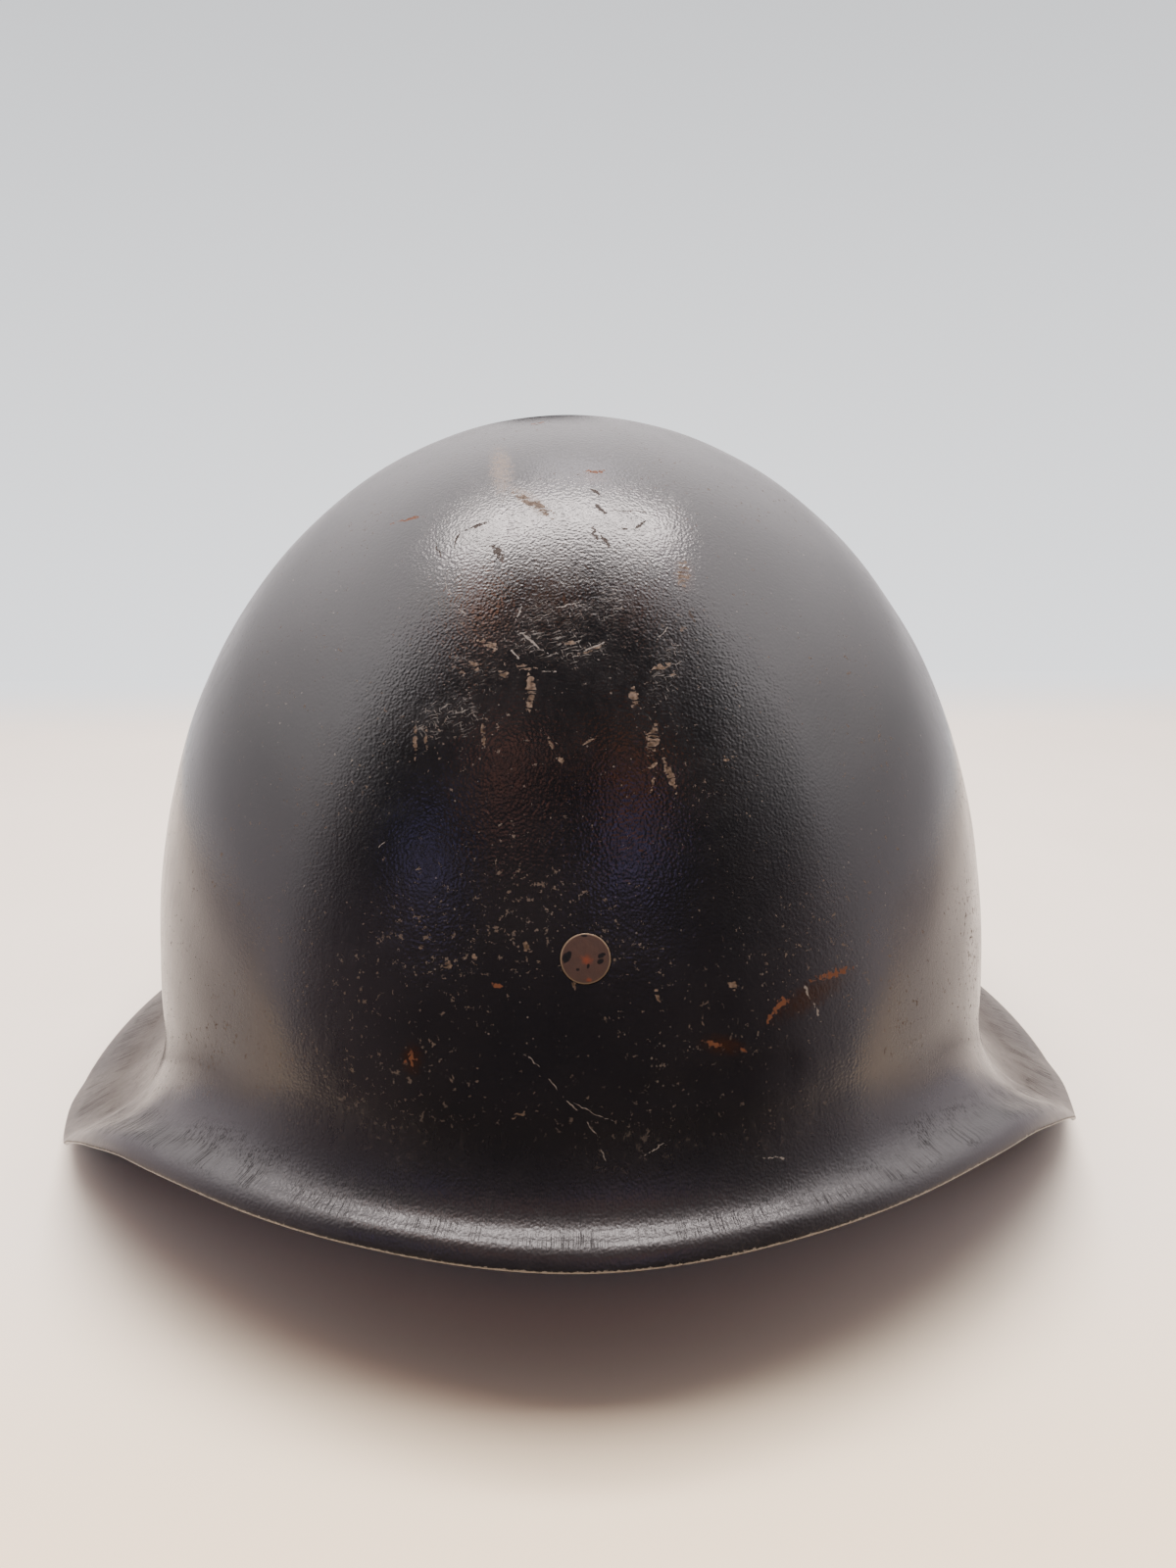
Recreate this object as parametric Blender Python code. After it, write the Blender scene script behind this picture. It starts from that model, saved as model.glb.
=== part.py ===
"""A pressed steel helmet: a one-piece shell with a flared brim, and the flush rivet in its front wall.

The front faces -Y. The helmet stands on the flat edge of its side and rear brim, at Z = 0, and the
origin is the centre of its footprint there. The front lip is raised clear of that surface.
"""
import bmesh
import bpy
import numpy as np
from mathutils import Matrix, Vector

# Driving dimensions, in metres
CROWN_HEIGHT = 0.180
WALL_FOOT = 0.033
DOME_HALF_WIDTH = 0.107
DOME_FRONT = 0.1205
DOME_REAR = 0.128
BRIM_HALF_WIDTH = 0.139
BRIM_FRONT = 0.1315
BRIM_REAR = 0.146
LIP_RISE = 0.040
COVE_HEIGHT = 0.030
SHEET = 0.0012
RIVET_HEIGHT = 0.0885
RIVET_FACE_RADIUS = 0.00465
RIVET_SHANK_RADIUS = 0.0023
CLOSING_HEAD_RADIUS = 0.0052
CLOSING_HEAD_HEIGHT = 0.0018
RIVET_EDGE_BREAK = 0.00012
CLEARANCE = 0.0003

# Shape exponents: how fast each wall leans in towards the crown, how much the side profile is drawn
# to a point there, and how square the plan is
SIDE_LEAN = 2.59
SIDE_POINT = 0.35
FRONT_LEAN = 1.5
REAR_LEAN = 2.35
DOME_SQUARENESS = 2.12
BRIM_SQUARENESS = 2.0

# Brim profile, as shares of its drop and of its run: the curl at its edge, and at the front the level
# band that the cove runs out into before the lip turns down
CURL = 0.16
CURL_SHARPNESS = 6
BAND_START = 0.8
LIP_TURN = 0.2
LIP_TURN_SHARPNESS = 14

# Taper of the rivet's countersunk head, in metres of radius for each metre of depth
HEAD_TAPER = 0.5

# Mesh density: columns around the helmet, and rows down the dome and down the brim
COLUMNS = 80
DOME_ROWS = 15
BRIM_ROWS = 10
RIVET_SIDES = 32
SLOPE_STEP = 1e-4

# The brim from front (0) to rear (180): its azimuth in degrees, the height of its edge as a share of
# LIP_RISE, its reach as a share of the plain oval outline, its depth as a share of COVE_HEIGHT, and
# how far its profile goes over to the level band and turned lip of the front.
# The edge lies flat from the 88 degree row back, and the shell stands on that stretch.
BRIM_SECTIONS = {
    "azimuth": (0, 20, 35, 45, 54, 62, 68, 74, 80, 88, 135, 180),
    "rise": (1.0, 1.0, 0.99, 0.94, 0.77, 0.52, 0.29, 0.16, 0.08, 0.0, 0.0, 0.0),
    "reach": (1.0, 0.984, 0.978, 0.98, 0.985, 0.989, 0.992, 0.994, 0.998, 1.0, 1.0, 1.0),
    "depth": (0.6, 0.62, 0.66, 0.72, 0.82, 0.93, 1.0, 1.0, 1.0, 1.0, 0.95, 0.85),
    "band": (1.0, 1.0, 1.0, 0.9, 0.6, 0.3, 0.1, 0.0, 0.0, 0.0, 0.0, 0.0),
}

FOOTPRINT_SHIFT = (BRIM_FRONT - BRIM_REAR) / 2


def section_value(azimuth, column):
    """Read a column of BRIM_SECTIONS at any azimuth, in degrees.

    A cubic runs between each two rows. Its slope at a row is the mean slope of the two stretches beside
    it, and zero where they turn back or where one is level, so the curve never passes its rows.
    """
    rows = np.array(BRIM_SECTIONS["azimuth"], dtype=float)
    values = np.array(BRIM_SECTIONS[column], dtype=float)
    steps = np.diff(rows)
    slopes = np.diff(values) / steps
    turning = slopes[:-1] * slopes[1:] <= 0
    middle = np.where(turning, 0.0, 2 * slopes[:-1] * slopes[1:] / np.where(turning, 1.0, slopes[:-1] + slopes[1:]))
    tangents = np.concatenate([[0.0], middle, [0.0]])
    place = np.clip(np.searchsorted(rows, azimuth, side="right") - 1, 0, len(steps) - 1)
    share = (azimuth - rows[place]) / steps[place]
    rise = values[place + 1] - values[place]
    start, end = tangents[place] * steps[place], tangents[place + 1] * steps[place]
    return (values[place] + start * share + (3 * rise - 2 * start - end) * share ** 2
            + (start + end - 2 * rise) * share ** 3)


def oval(angle, half_width, front, rear, squareness):
    """Point of a plan outline: a superellipse with its own reach to the front and to the rear."""
    across = np.sin(angle)
    along = -np.cos(angle)
    x = half_width * np.sign(across) * np.abs(across) ** (2 / squareness)
    reach = np.where(along < 0, front, rear)
    y = reach * np.sign(along) * np.abs(along) ** (2 / squareness)
    return x, y


def dome_outline(angle, height):
    """Plan point of the dome's wall at a height.

    With t the share of the way from the walls' foot to the crown, each reach is its full value times
    the square root of 1 - t ** lean. At the sides t ** lean is raised by SIDE_POINT times 1 - t. The
    plan is squarer at the foot and round at the crown.
    """
    share = np.clip((height - WALL_FOOT) / (CROWN_HEIGHT - WALL_FOOT), 0.0, 1.0)
    side = np.sqrt(1 - share ** SIDE_LEAN * (1 + SIDE_POINT * (1 - share)))
    front, rear = (np.sqrt(1 - share ** lean) for lean in (FRONT_LEAN, REAR_LEAN))
    squareness = 2 + (DOME_SQUARENESS - 2) * (1 - share ** 2)
    return oval(angle, DOME_HALF_WIDTH * side, DOME_FRONT * front, DOME_REAR * rear, squareness)


def brim_edge(angle):
    """Outer edge of the brim: its plan point, its height, the cove's depth above it and its band share."""
    x, y = oval(angle, BRIM_HALF_WIDTH, BRIM_FRONT, BRIM_REAR, BRIM_SQUARENESS)
    azimuth = np.degrees(np.arctan2(np.abs(x), -y))
    reach = section_value(azimuth, "reach")
    height = LIP_RISE * section_value(azimuth, "rise")
    depth = COVE_HEIGHT * section_value(azimuth, "depth")
    return x * reach, y * reach, height, depth, section_value(azimuth, "band")


def brim_drop(out, band):
    """Share of the brim's drop that is reached at a share of its run outwards.

    The plain profile is a sine plus a high power that curls the edge down. The banded one ends its
    sine early, stays level for a band and then turns down with a higher power.
    """
    plain = (1 - CURL) * np.sin(out * np.pi / 2) + CURL * out ** CURL_SHARPNESS
    cove = np.sin(np.minimum(out / BAND_START, 1.0) * np.pi / 2)
    banded = (1 - LIP_TURN) * cove + LIP_TURN * out ** LIP_TURN_SHARPNESS
    return plain + (banded - plain) * band


def outer_surface(angle, run):
    """Outer face of the shell. run is 0 at the crown, 1 where the brim starts and 2 at its edge.

    From 0 to 1 the height falls as a cosine. From 1 to 2 the wall turns out in a cove, which drops as
    brim_drop says while its reach grows as one minus a cosine.
    """
    edge_x, edge_y, edge_height, depth, band = brim_edge(angle)
    waist = edge_height + depth
    down = np.clip(run, 0.0, 1.0) * np.pi / 2
    out = np.clip(run - 1, 0.0, 1.0)
    height = waist + (CROWN_HEIGHT - waist) * np.cos(down) - depth * brim_drop(out, band)
    wall_x, wall_y = dome_outline(angle, height)
    foot_x, foot_y = dome_outline(angle, edge_height)
    flare = 1 - np.cos(out * np.pi / 2)
    x = wall_x + (edge_x - foot_x) * flare
    y = wall_y + (edge_y - foot_y) * flare + FOOTPRINT_SHIFT
    return np.stack(np.broadcast_arrays(x, y, height), axis=-1)


def outward_normals(angle, run):
    """Unit normals of the outer face, from the cross product of its two slopes."""
    around = outer_surface(angle + SLOPE_STEP, run) - outer_surface(angle - SLOPE_STEP, run)
    down = outer_surface(angle, run + SLOPE_STEP) - outer_surface(angle, run - SLOPE_STEP)
    normal = np.cross(down, around)
    return normal / np.linalg.norm(normal, axis=-1, keepdims=True)


def shell_points():
    """Rings of points down the outer face, then up the inner face, and the two crown points."""
    angle = np.linspace(0, 2 * np.pi, COLUMNS, endpoint=False)[None, :]
    dome_run = np.linspace(0, 1, DOME_ROWS + 1)[1:]
    brim_run = 1 + np.linspace(0, 1, BRIM_ROWS + 1)[1:]
    run = np.concatenate([dome_run, brim_run])[:, None]
    outer = outer_surface(angle, run)
    slope_run = np.minimum(run, 2 - SLOPE_STEP)
    inner = outer - SHEET * outward_normals(angle, slope_run)
    inner[..., 2] = np.maximum(inner[..., 2], 0.0)
    crown = np.array([[0, FOOTPRINT_SHIFT, CROWN_HEIGHT], [0, FOOTPRINT_SHIFT, CROWN_HEIGHT - SHEET]])
    return outer, inner[::-1], crown


def ring_faces(first_ring, rings):
    """Quads between rings that follow each other in the point list."""
    column = np.arange(COLUMNS)
    following = (column + 1) % COLUMNS
    faces = []
    for ring in range(first_ring, first_ring + rings - 1):
        upper, lower = ring * COLUMNS, (ring + 1) * COLUMNS
        faces += np.stack([upper + column, lower + column, lower + following, upper + following], 1).tolist()
    return faces


def make_shell():
    """The whole pressing: outer face, cut edge and inner face as one closed mesh."""
    outer, inner, crown = shell_points()
    points = np.concatenate([outer.reshape(-1, 3), inner.reshape(-1, 3), crown])
    rings = len(outer) + len(inner)
    outer_crown, inner_crown = len(points) - 2, len(points) - 1
    column = np.arange(COLUMNS)
    following = (column + 1) % COLUMNS
    last = (rings - 1) * COLUMNS
    faces = ring_faces(0, rings)
    faces += [(outer_crown, int(a), int(b)) for a, b in zip(column, following)]
    faces += [(inner_crown, last + int(b), last + int(a)) for a, b in zip(column, following)]
    return make_object("helmet_shell", points.tolist(), faces)


def make_object(name, points, faces):
    """A smooth-shaded object with its normals turned outwards."""
    mesh = bpy.data.meshes.new(name)
    mesh.from_pydata(points, [], faces)
    shape = bmesh.new()
    shape.from_mesh(mesh)
    bmesh.ops.recalc_face_normals(shape, faces=shape.faces)
    shape.to_mesh(mesh)
    shape.free()
    mesh.shade_smooth()
    mesh.set_sharp_from_angle(angle=np.radians(40))
    piece = bpy.data.objects.new(name, mesh)
    bpy.context.scene.collection.objects.link(piece)
    return piece


def turned_solid(name, profile):
    """A solid turned about its own Z axis from (radius, depth) points, closed at both ends."""
    turn = np.linspace(0, 2 * np.pi, RIVET_SIDES, endpoint=False)
    rings = [[(r * np.cos(a), r * np.sin(a), z) for a in turn] for r, z in profile]
    points = [point for ring in rings for point in ring]
    faces = [tuple(range(RIVET_SIDES)), tuple(range(len(points) - RIVET_SIDES, len(points)))]
    for ring in range(len(rings) - 1):
        upper, lower = ring * RIVET_SIDES, (ring + 1) * RIVET_SIDES
        for side in range(RIVET_SIDES):
            ahead = (side + 1) % RIVET_SIDES
            faces.append((upper + side, upper + ahead, lower + ahead, lower + side))
    return make_object(name, points, faces)


def rivet_frame():
    """Place of the rivet: on the front wall's centre line, with its Z axis along the inward normal."""
    low, high = 0.0, 1.0
    for _ in range(50):
        run = (low + high) / 2
        if outer_surface(0.0, run)[2] > RIVET_HEIGHT:
            low = run
        else:
            high = run
    centre = Vector(outer_surface(0.0, run))
    inward = -Vector(outward_normals(0.0, run))
    return Matrix.Translation(centre) @ inward.to_track_quat("Z", "Y").to_matrix().to_4x4()


def head_radius(depth):
    """Radius of the countersunk head at a depth under its face."""
    return RIVET_FACE_RADIUS - HEAD_TAPER * depth


def make_rivet():
    """Countersunk head flush with the wall, shank, and a closing head seated inside the shell."""
    wall_sag = CLOSING_HEAD_RADIUS ** 2 / (2 * DOME_HALF_WIDTH)
    seat = SHEET + CLEARANCE + wall_sag
    top = seat + CLOSING_HEAD_HEIGHT
    profile = [
        (RIVET_FACE_RADIUS - RIVET_EDGE_BREAK, 0.0),
        (RIVET_FACE_RADIUS, RIVET_EDGE_BREAK),
        (head_radius(SHEET), SHEET),
        (RIVET_SHANK_RADIUS, SHEET),
        (RIVET_SHANK_RADIUS, seat),
        (CLOSING_HEAD_RADIUS, seat),
        (CLOSING_HEAD_RADIUS, (seat + top) / 2),
        (CLOSING_HEAD_RADIUS * 0.6, top),
    ]
    rivet = turned_solid("front_rivet", profile)
    rivet.matrix_world = rivet_frame()
    return rivet


def cut_rivet_hole(shell):
    """Countersunk hole in the front wall, wider than the rivet's head by the clearance all round."""
    widening = CLEARANCE * np.hypot(1, HEAD_TAPER)
    reach = 2 * SHEET
    profile = [
        (RIVET_FACE_RADIUS + widening, -reach),
        (RIVET_FACE_RADIUS + widening, 0.0),
        (head_radius(reach) + widening, reach),
    ]
    cutter = turned_solid("rivet_hole_cutter", profile)
    cutter.matrix_world = rivet_frame()
    cutter.hide_render = True
    cutter.display_type = "WIRE"
    cut = shell.modifiers.new("rivet_hole", "BOOLEAN")
    cut.operation = "DIFFERENCE"
    cut.solver = "EXACT"
    cut.object = cutter


def set_material(piece, name, colour, roughness, metallic):
    """Principled BSDF material with a linear base colour."""
    material = bpy.data.materials.new(name)
    material.use_nodes = True
    shader = material.node_tree.nodes["Principled BSDF"]
    shader.inputs["Base Color"].default_value = (*colour, 1.0)
    shader.inputs["Roughness"].default_value = roughness
    shader.inputs["Metallic"].default_value = metallic
    piece.data.materials.append(material)


def main():
    for old in list(bpy.data.objects):
        bpy.data.objects.remove(old, do_unlink=True)
    shell = make_shell()
    cut_rivet_hole(shell)
    rivet = make_rivet()
    set_material(shell, "black_enamel_on_steel", (0.012, 0.011, 0.013), 0.28, 0.0)
    set_material(rivet, "tarnished_brass", (0.11, 0.07, 0.045), 0.5, 1.0)


main()
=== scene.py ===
# %% [markdown]
# # An old pressed steel helmet
# The helmet is one sheet of steel about 1.2 mm thick, pressed into a high dome with a brim that
# stands up at the front and runs down to the surface at the sides and the rear. It was painted in
# black stoving enamel, which has gone dull, pitted and chipped, and one flush brass rivet shows in
# the front wall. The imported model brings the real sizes. This script makes the fine surfaces and
# their finishes around it. The front faces -Y and every length is in metres.

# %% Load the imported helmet
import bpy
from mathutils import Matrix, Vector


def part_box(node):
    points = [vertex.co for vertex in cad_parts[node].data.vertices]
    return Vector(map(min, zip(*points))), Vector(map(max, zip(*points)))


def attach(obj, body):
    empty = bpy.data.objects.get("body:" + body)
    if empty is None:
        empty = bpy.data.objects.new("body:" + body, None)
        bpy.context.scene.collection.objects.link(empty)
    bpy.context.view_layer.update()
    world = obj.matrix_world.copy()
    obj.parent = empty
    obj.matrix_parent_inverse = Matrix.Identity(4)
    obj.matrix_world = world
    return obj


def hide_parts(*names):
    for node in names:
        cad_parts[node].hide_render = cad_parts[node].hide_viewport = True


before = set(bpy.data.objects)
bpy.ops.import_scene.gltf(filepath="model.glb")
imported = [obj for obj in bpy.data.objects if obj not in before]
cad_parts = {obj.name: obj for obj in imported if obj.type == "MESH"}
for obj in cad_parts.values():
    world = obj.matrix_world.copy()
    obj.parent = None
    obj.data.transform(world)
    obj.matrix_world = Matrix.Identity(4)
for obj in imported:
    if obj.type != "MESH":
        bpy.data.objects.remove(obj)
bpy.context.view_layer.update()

from types import SimpleNamespace

import bmesh
import bpy
import numpy as np
from mathutils import Matrix, Vector

MM = 0.001

# %% [markdown]
# ## The shape of the pressing
# The shell could be a sculpted mesh, or a turned bowl pushed about by hand. A formula is better here,
# because a press tool is a smooth form with a few numbers behind it, and because the inner face, the
# rivet and the wear marks can then be placed on exactly the same surface. The overall width, length
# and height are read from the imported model. The rest are the same shares and exponents that the solid
# was made with.

# %% Sizes of the shell
LOW_CORNER, HIGH_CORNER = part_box("helmet_shell")
CROWN_HEIGHT = HIGH_CORNER.z
BRIM_HALF_WIDTH = HIGH_CORNER.x
FOOTPRINT_SHIFT = -7.25 * MM
BRIM_FRONT = -LOW_CORNER.y + FOOTPRINT_SHIFT
BRIM_REAR = HIGH_CORNER.y - FOOTPRINT_SHIFT
DOME_HALF_WIDTH = 107 * MM
DOME_FRONT = 120.5 * MM
DOME_REAR = 128 * MM
WALL_FOOT = 33 * MM
LIP_RISE = 40 * MM
COVE_HEIGHT = 30 * MM
SHEET = 1.2 * MM

SIDE_LEAN, FRONT_LEAN, REAR_LEAN = 2.59, 1.5, 2.35
SIDE_POINT = 0.35
DOME_SQUARENESS, BRIM_SQUARENESS = 2.12, 2.0
CURL, CURL_SHARPNESS = 0.16, 6
BAND_START, LIP_TURN, LIP_TURN_SHARPNESS = 0.8, 0.2, 14

# Brim from front (0) to rear (180 degrees): edge height, reach, cove depth and how banded its lip is
BRIM_SECTIONS = {
    "azimuth": (0, 20, 35, 45, 54, 62, 68, 74, 80, 88, 135, 180),
    "rise": (1.0, 1.0, 0.99, 0.94, 0.77, 0.52, 0.29, 0.16, 0.08, 0.0, 0.0, 0.0),
    "reach": (1.0, 0.984, 0.978, 0.98, 0.985, 0.989, 0.992, 0.994, 0.998, 1.0, 1.0, 1.0),
    "depth": (0.6, 0.62, 0.66, 0.72, 0.82, 0.93, 1.0, 1.0, 1.0, 1.0, 0.95, 0.85),
    "band": (1.0, 1.0, 1.0, 0.9, 0.6, 0.3, 0.1, 0.0, 0.0, 0.0, 0.0, 0.0),
}
print(f"helmet {2 * BRIM_HALF_WIDTH:.3f} wide, {BRIM_FRONT + BRIM_REAR:.3f} long, {CROWN_HEIGHT:.3f} high")


# %% [markdown]
# The brim changes its height and depth all the way round, so those values come from a short table of
# sections. A straight run between rows would leave kinks, and a plain cubic would overshoot the level
# stretches, so the curve below takes the harmonic mean of the slopes beside each row.

# %% The outer face as a function of two parameters
def section_value(azimuth, column):
    """A cubic between table rows, whose slope at a row is the harmonic mean of its neighbours' slopes."""
    rows = np.array(BRIM_SECTIONS["azimuth"], dtype=float)
    values = np.array(BRIM_SECTIONS[column], dtype=float)
    steps = np.diff(rows)
    slopes = np.diff(values) / steps
    turning = slopes[:-1] * slopes[1:] <= 0
    total = np.where(turning, 1.0, slopes[:-1] + slopes[1:])
    tangents = np.concatenate([[0.0], np.where(turning, 0.0, 2 * slopes[:-1] * slopes[1:] / total), [0.0]])
    place = np.clip(np.searchsorted(rows, azimuth, side="right") - 1, 0, len(steps) - 1)
    share = (azimuth - rows[place]) / steps[place]
    rise = values[place + 1] - values[place]
    start, end = tangents[place] * steps[place], tangents[place + 1] * steps[place]
    return (values[place] + start * share + (3 * rise - 2 * start - end) * share ** 2
            + (start + end - 2 * rise) * share ** 3)


def oval(angle, half_width, front, rear, squareness):
    """A superellipse: half width times sine, reach times cosine, each to the power 2 / squareness."""
    across, along = np.sin(angle), -np.cos(angle)
    x = half_width * np.sign(across) * np.abs(across) ** (2 / squareness)
    y = np.where(along < 0, front, rear) * np.sign(along) * np.abs(along) ** (2 / squareness)
    return x, y


def dome_outline(angle, height):
    """The wall's plan point: with t the share of the height, each reach times the root of 1 - t ** lean.

    At the sides t ** lean is raised by SIDE_POINT times 1 - t, which draws the crown to a slight point.
    """
    share = np.clip((height - WALL_FOOT) / (CROWN_HEIGHT - WALL_FOOT), 0.0, 1.0)
    side = np.sqrt(1 - share ** SIDE_LEAN * (1 + SIDE_POINT * (1 - share)))
    front, rear = (np.sqrt(1 - share ** lean) for lean in (FRONT_LEAN, REAR_LEAN))
    squareness = 2 + (DOME_SQUARENESS - 2) * (1 - share ** 2)
    return oval(angle, DOME_HALF_WIDTH * side, DOME_FRONT * front, DOME_REAR * rear, squareness)


def brim_edge(angle):
    """The brim's edge: the plan oval times its reach, with its height, cove depth and band share there."""
    x, y = oval(angle, BRIM_HALF_WIDTH, BRIM_FRONT, BRIM_REAR, BRIM_SQUARENESS)
    azimuth = np.degrees(np.arctan2(np.abs(x), -y))
    reach = section_value(azimuth, "reach")
    height = LIP_RISE * section_value(azimuth, "rise")
    depth = COVE_HEIGHT * section_value(azimuth, "depth")
    return x * reach, y * reach, height, depth, section_value(azimuth, "band")


def brim_drop(out, band):
    """Share of the brim's drop at a share of its run: a sine plus a high power that curls the edge down.

    The banded profile of the front ends its sine early, runs level and then turns down more sharply.
    """
    plain = (1 - CURL) * np.sin(out * np.pi / 2) + CURL * out ** CURL_SHARPNESS
    cove = np.sin(np.minimum(out / BAND_START, 1.0) * np.pi / 2)
    banded = (1 - LIP_TURN) * cove + LIP_TURN * out ** LIP_TURN_SHARPNESS
    return plain + (banded - plain) * band


def pressed_surface(angle, run):
    """The press tool's face. From run 0 to 1 the height falls as a cosine from the crown to the waist.

    From 1 to 2 the wall turns out in the brim's cove, while its reach grows as one minus a cosine.
    """
    edge_x, edge_y, edge_height, depth, band = brim_edge(angle)
    waist = edge_height + depth
    out = np.clip(run - 1, 0.0, 1.0)
    down = np.cos(np.clip(run, 0.0, 1.0) * np.pi / 2)
    height = waist + (CROWN_HEIGHT - waist) * down - depth * brim_drop(out, band)
    wall_x, wall_y = dome_outline(angle, height)
    foot_x, foot_y = dome_outline(angle, edge_height)
    flare = 1 - np.cos(out * np.pi / 2)
    x = wall_x + (edge_x - foot_x) * flare
    y = wall_y + (edge_y - foot_y) * flare + FOOTPRINT_SHIFT
    return np.stack(np.broadcast_arrays(x, y, height), axis=-1)


SLOPE_STEP = 1e-4


def slope_normals(surface, angle, run):
    """Unit normals of a surface: the cross product of its slope downwards and its slope around."""
    around = surface(angle + SLOPE_STEP, run) - surface(angle - SLOPE_STEP, run)
    down = surface(angle, run + SLOPE_STEP) - surface(angle, run - SLOPE_STEP)
    normal = np.cross(down, around)
    return normal / np.linalg.norm(normal, axis=-1, keepdims=True)


print("front wall at run 0.75:", np.round(pressed_surface(0.0, 0.75), 4))

# %% [markdown]
# ## The camera
# The photo was taken close to the helmet with a wide phone lens, from just above crown height and
# looking down at it. That gives the picture its strong perspective, so the camera comes first: the
# wear marks are charted in the picture and laid on the surface through this camera.

# %% Camera
PHOTO_WIDTH, PHOTO_HEIGHT = 1200, 1600
FOCAL_PIXELS = 1180.3
RIVET_PIXEL = np.array([[598.0, 972.0]])
SENSOR = 36.0
CAMERA_PLACE = np.array([-7.05, -302.0, 190.5]) * MM
CAMERA_PITCH = np.radians(19.73)
CAMERA_YAW = np.radians(2.27)

camera = bpy.data.objects.new("photo_camera", bpy.data.cameras.new("photo_camera"))
bpy.context.scene.collection.objects.link(camera)
bpy.context.scene.camera = camera
camera.location = CAMERA_PLACE
camera.rotation_euler = (np.pi / 2 - CAMERA_PITCH, 0.0, -CAMERA_YAW)
camera.data.sensor_fit = "AUTO"
camera.data.sensor_width = SENSOR
camera.data.lens = FOCAL_PIXELS * SENSOR / PHOTO_HEIGHT
camera.data.clip_start = 0.01
camera.data.clip_end = 20.0
print(f"lens {camera.data.lens:.1f} mm, {np.degrees(CAMERA_PITCH):.1f} degrees down")

LEVEL_AHEAD = np.array([np.sin(CAMERA_YAW), np.cos(CAMERA_YAW), 0.0])
FORWARD = LEVEL_AHEAD * np.cos(CAMERA_PITCH) - np.array([0.0, 0.0, np.sin(CAMERA_PITCH)])
RIGHT = np.array([np.cos(CAMERA_YAW), -np.sin(CAMERA_YAW), 0.0])
UP = np.cross(RIGHT, FORWARD)


def picture_point(points):
    """Where points fall in the picture: sideways and upward offset over depth, times the focal length."""
    seen = points - CAMERA_PLACE
    depth = seen @ FORWARD
    across = PHOTO_WIDTH / 2 + FOCAL_PIXELS * (seen @ RIGHT) / depth
    down = PHOTO_HEIGHT / 2 - FOCAL_PIXELS * (seen @ UP) / depth
    return np.stack([across, down], axis=-1)


# %% [markdown]
# A mark in the picture is a pixel, and the surface has two parameters, so finding a mark's place is
# two equations in two unknowns. The nearest point of a coarse grid starts the search and a few Newton
# steps finish it, for all marks at once.

# %% From the picture to the surface
GRID_SIDE = 175
NEWTON_STEPS, LONGEST_STEP = 8, 0.05
HIDDEN = 1e6


def on_helmet(pixels):
    """Points of the outer face seen at these pixels, by Newton steps on (angle, run)."""
    angles, runs = np.linspace(-1.45, 1.45, GRID_SIDE), np.linspace(0.06, 1.99, GRID_SIDE)
    angle, run = np.meshgrid(angles, runs, indexing="ij")
    grid = pressed_surface(angle, run)
    facing = ((CAMERA_PLACE - grid) * slope_normals(pressed_surface, angle, run)).sum(-1) > 0
    seen = picture_point(grid)
    gap = ((seen[None] - pixels[:, None, None]) ** 2).sum(-1) + np.where(facing, 0.0, HIDDEN)
    nearest = gap.reshape(len(pixels), -1).argmin(1)
    place = np.stack([angle.ravel()[nearest], run.ravel()[nearest]], axis=-1)
    for _ in range(NEWTON_STEPS):
        here = picture_point(pressed_surface(place[:, 0], place[:, 1]))
        along_angle = picture_point(pressed_surface(place[:, 0] + SLOPE_STEP, place[:, 1])) - here
        along_run = picture_point(pressed_surface(place[:, 0], place[:, 1] + SLOPE_STEP)) - here
        slopes = np.stack([along_angle, along_run], axis=-1) / SLOPE_STEP
        step = np.linalg.solve(slopes, (pixels - here)[..., None])[..., 0]
        place = place + np.clip(step, -LONGEST_STEP, LONGEST_STEP)
    return pressed_surface(place[:, 0], place[:, 1])


print("rivet in the picture falls at", np.round(on_helmet(RIVET_PIXEL), 4))

# %% [markdown]
# Marks need flat coordinates on the curved wall. A front projection would smear them over the crown,
# and unwrapping would need seams. The chart below is the one that map makers use for a hemisphere:
# the angle away from a chosen centre direction becomes the distance on the map, so it is nearly true
# to scale all over the front and the crown, and its only seam lies far away at the rear.

# %% A chart of the front
CHART_CENTRE = np.array([0.0, FOOTPRINT_SHIFT, 62 * MM])
CHART_RADIUS = 115 * MM
CHART_TILT = np.radians(30)
CHART_AHEAD = np.array([0.0, -np.cos(CHART_TILT), np.sin(CHART_TILT)])
CHART_RIGHT = np.array([1.0, 0.0, 0.0])
CHART_UP = np.cross(CHART_AHEAD, CHART_RIGHT)


def front_chart(points):
    """Azimuthal equidistant map: angle from the centre direction times the radius, in that direction."""
    ray = points - CHART_CENTRE
    ray = ray / np.linalg.norm(ray, axis=-1, keepdims=True)
    turn = np.arccos(np.clip(ray @ CHART_AHEAD, -1.0, 1.0))
    stretch = CHART_RADIUS * turn / np.maximum(np.sin(turn), 1e-6)
    flat = np.zeros_like(points)
    flat[..., 0] = stretch * (ray @ CHART_RIGHT)
    flat[..., 1] = stretch * (ray @ CHART_UP)
    return flat


def charted(strokes):
    """Turn strokes (x, y, x, y, width in picture pixels) into centre, half length, half width, angle."""
    table = np.array(strokes, dtype=float)
    starts, ends = on_helmet(table[:, :2]), on_helmet(table[:, 2:4])
    start, end = front_chart(starts), front_chart(ends)
    depth = ((starts + ends) / 2 - CAMERA_PLACE) @ FORWARD
    half_width = table[:, 4] * depth / FOCAL_PIXELS / 2
    run = end - start
    half_length = np.linalg.norm(run, axis=-1) / 2 + half_width
    return (start + end) / 2, half_length, half_width, np.arctan2(run[:, 1], run[:, 0])


print("chart of the rivet", np.round(front_chart(on_helmet(RIVET_PIXEL)), 4))

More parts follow.
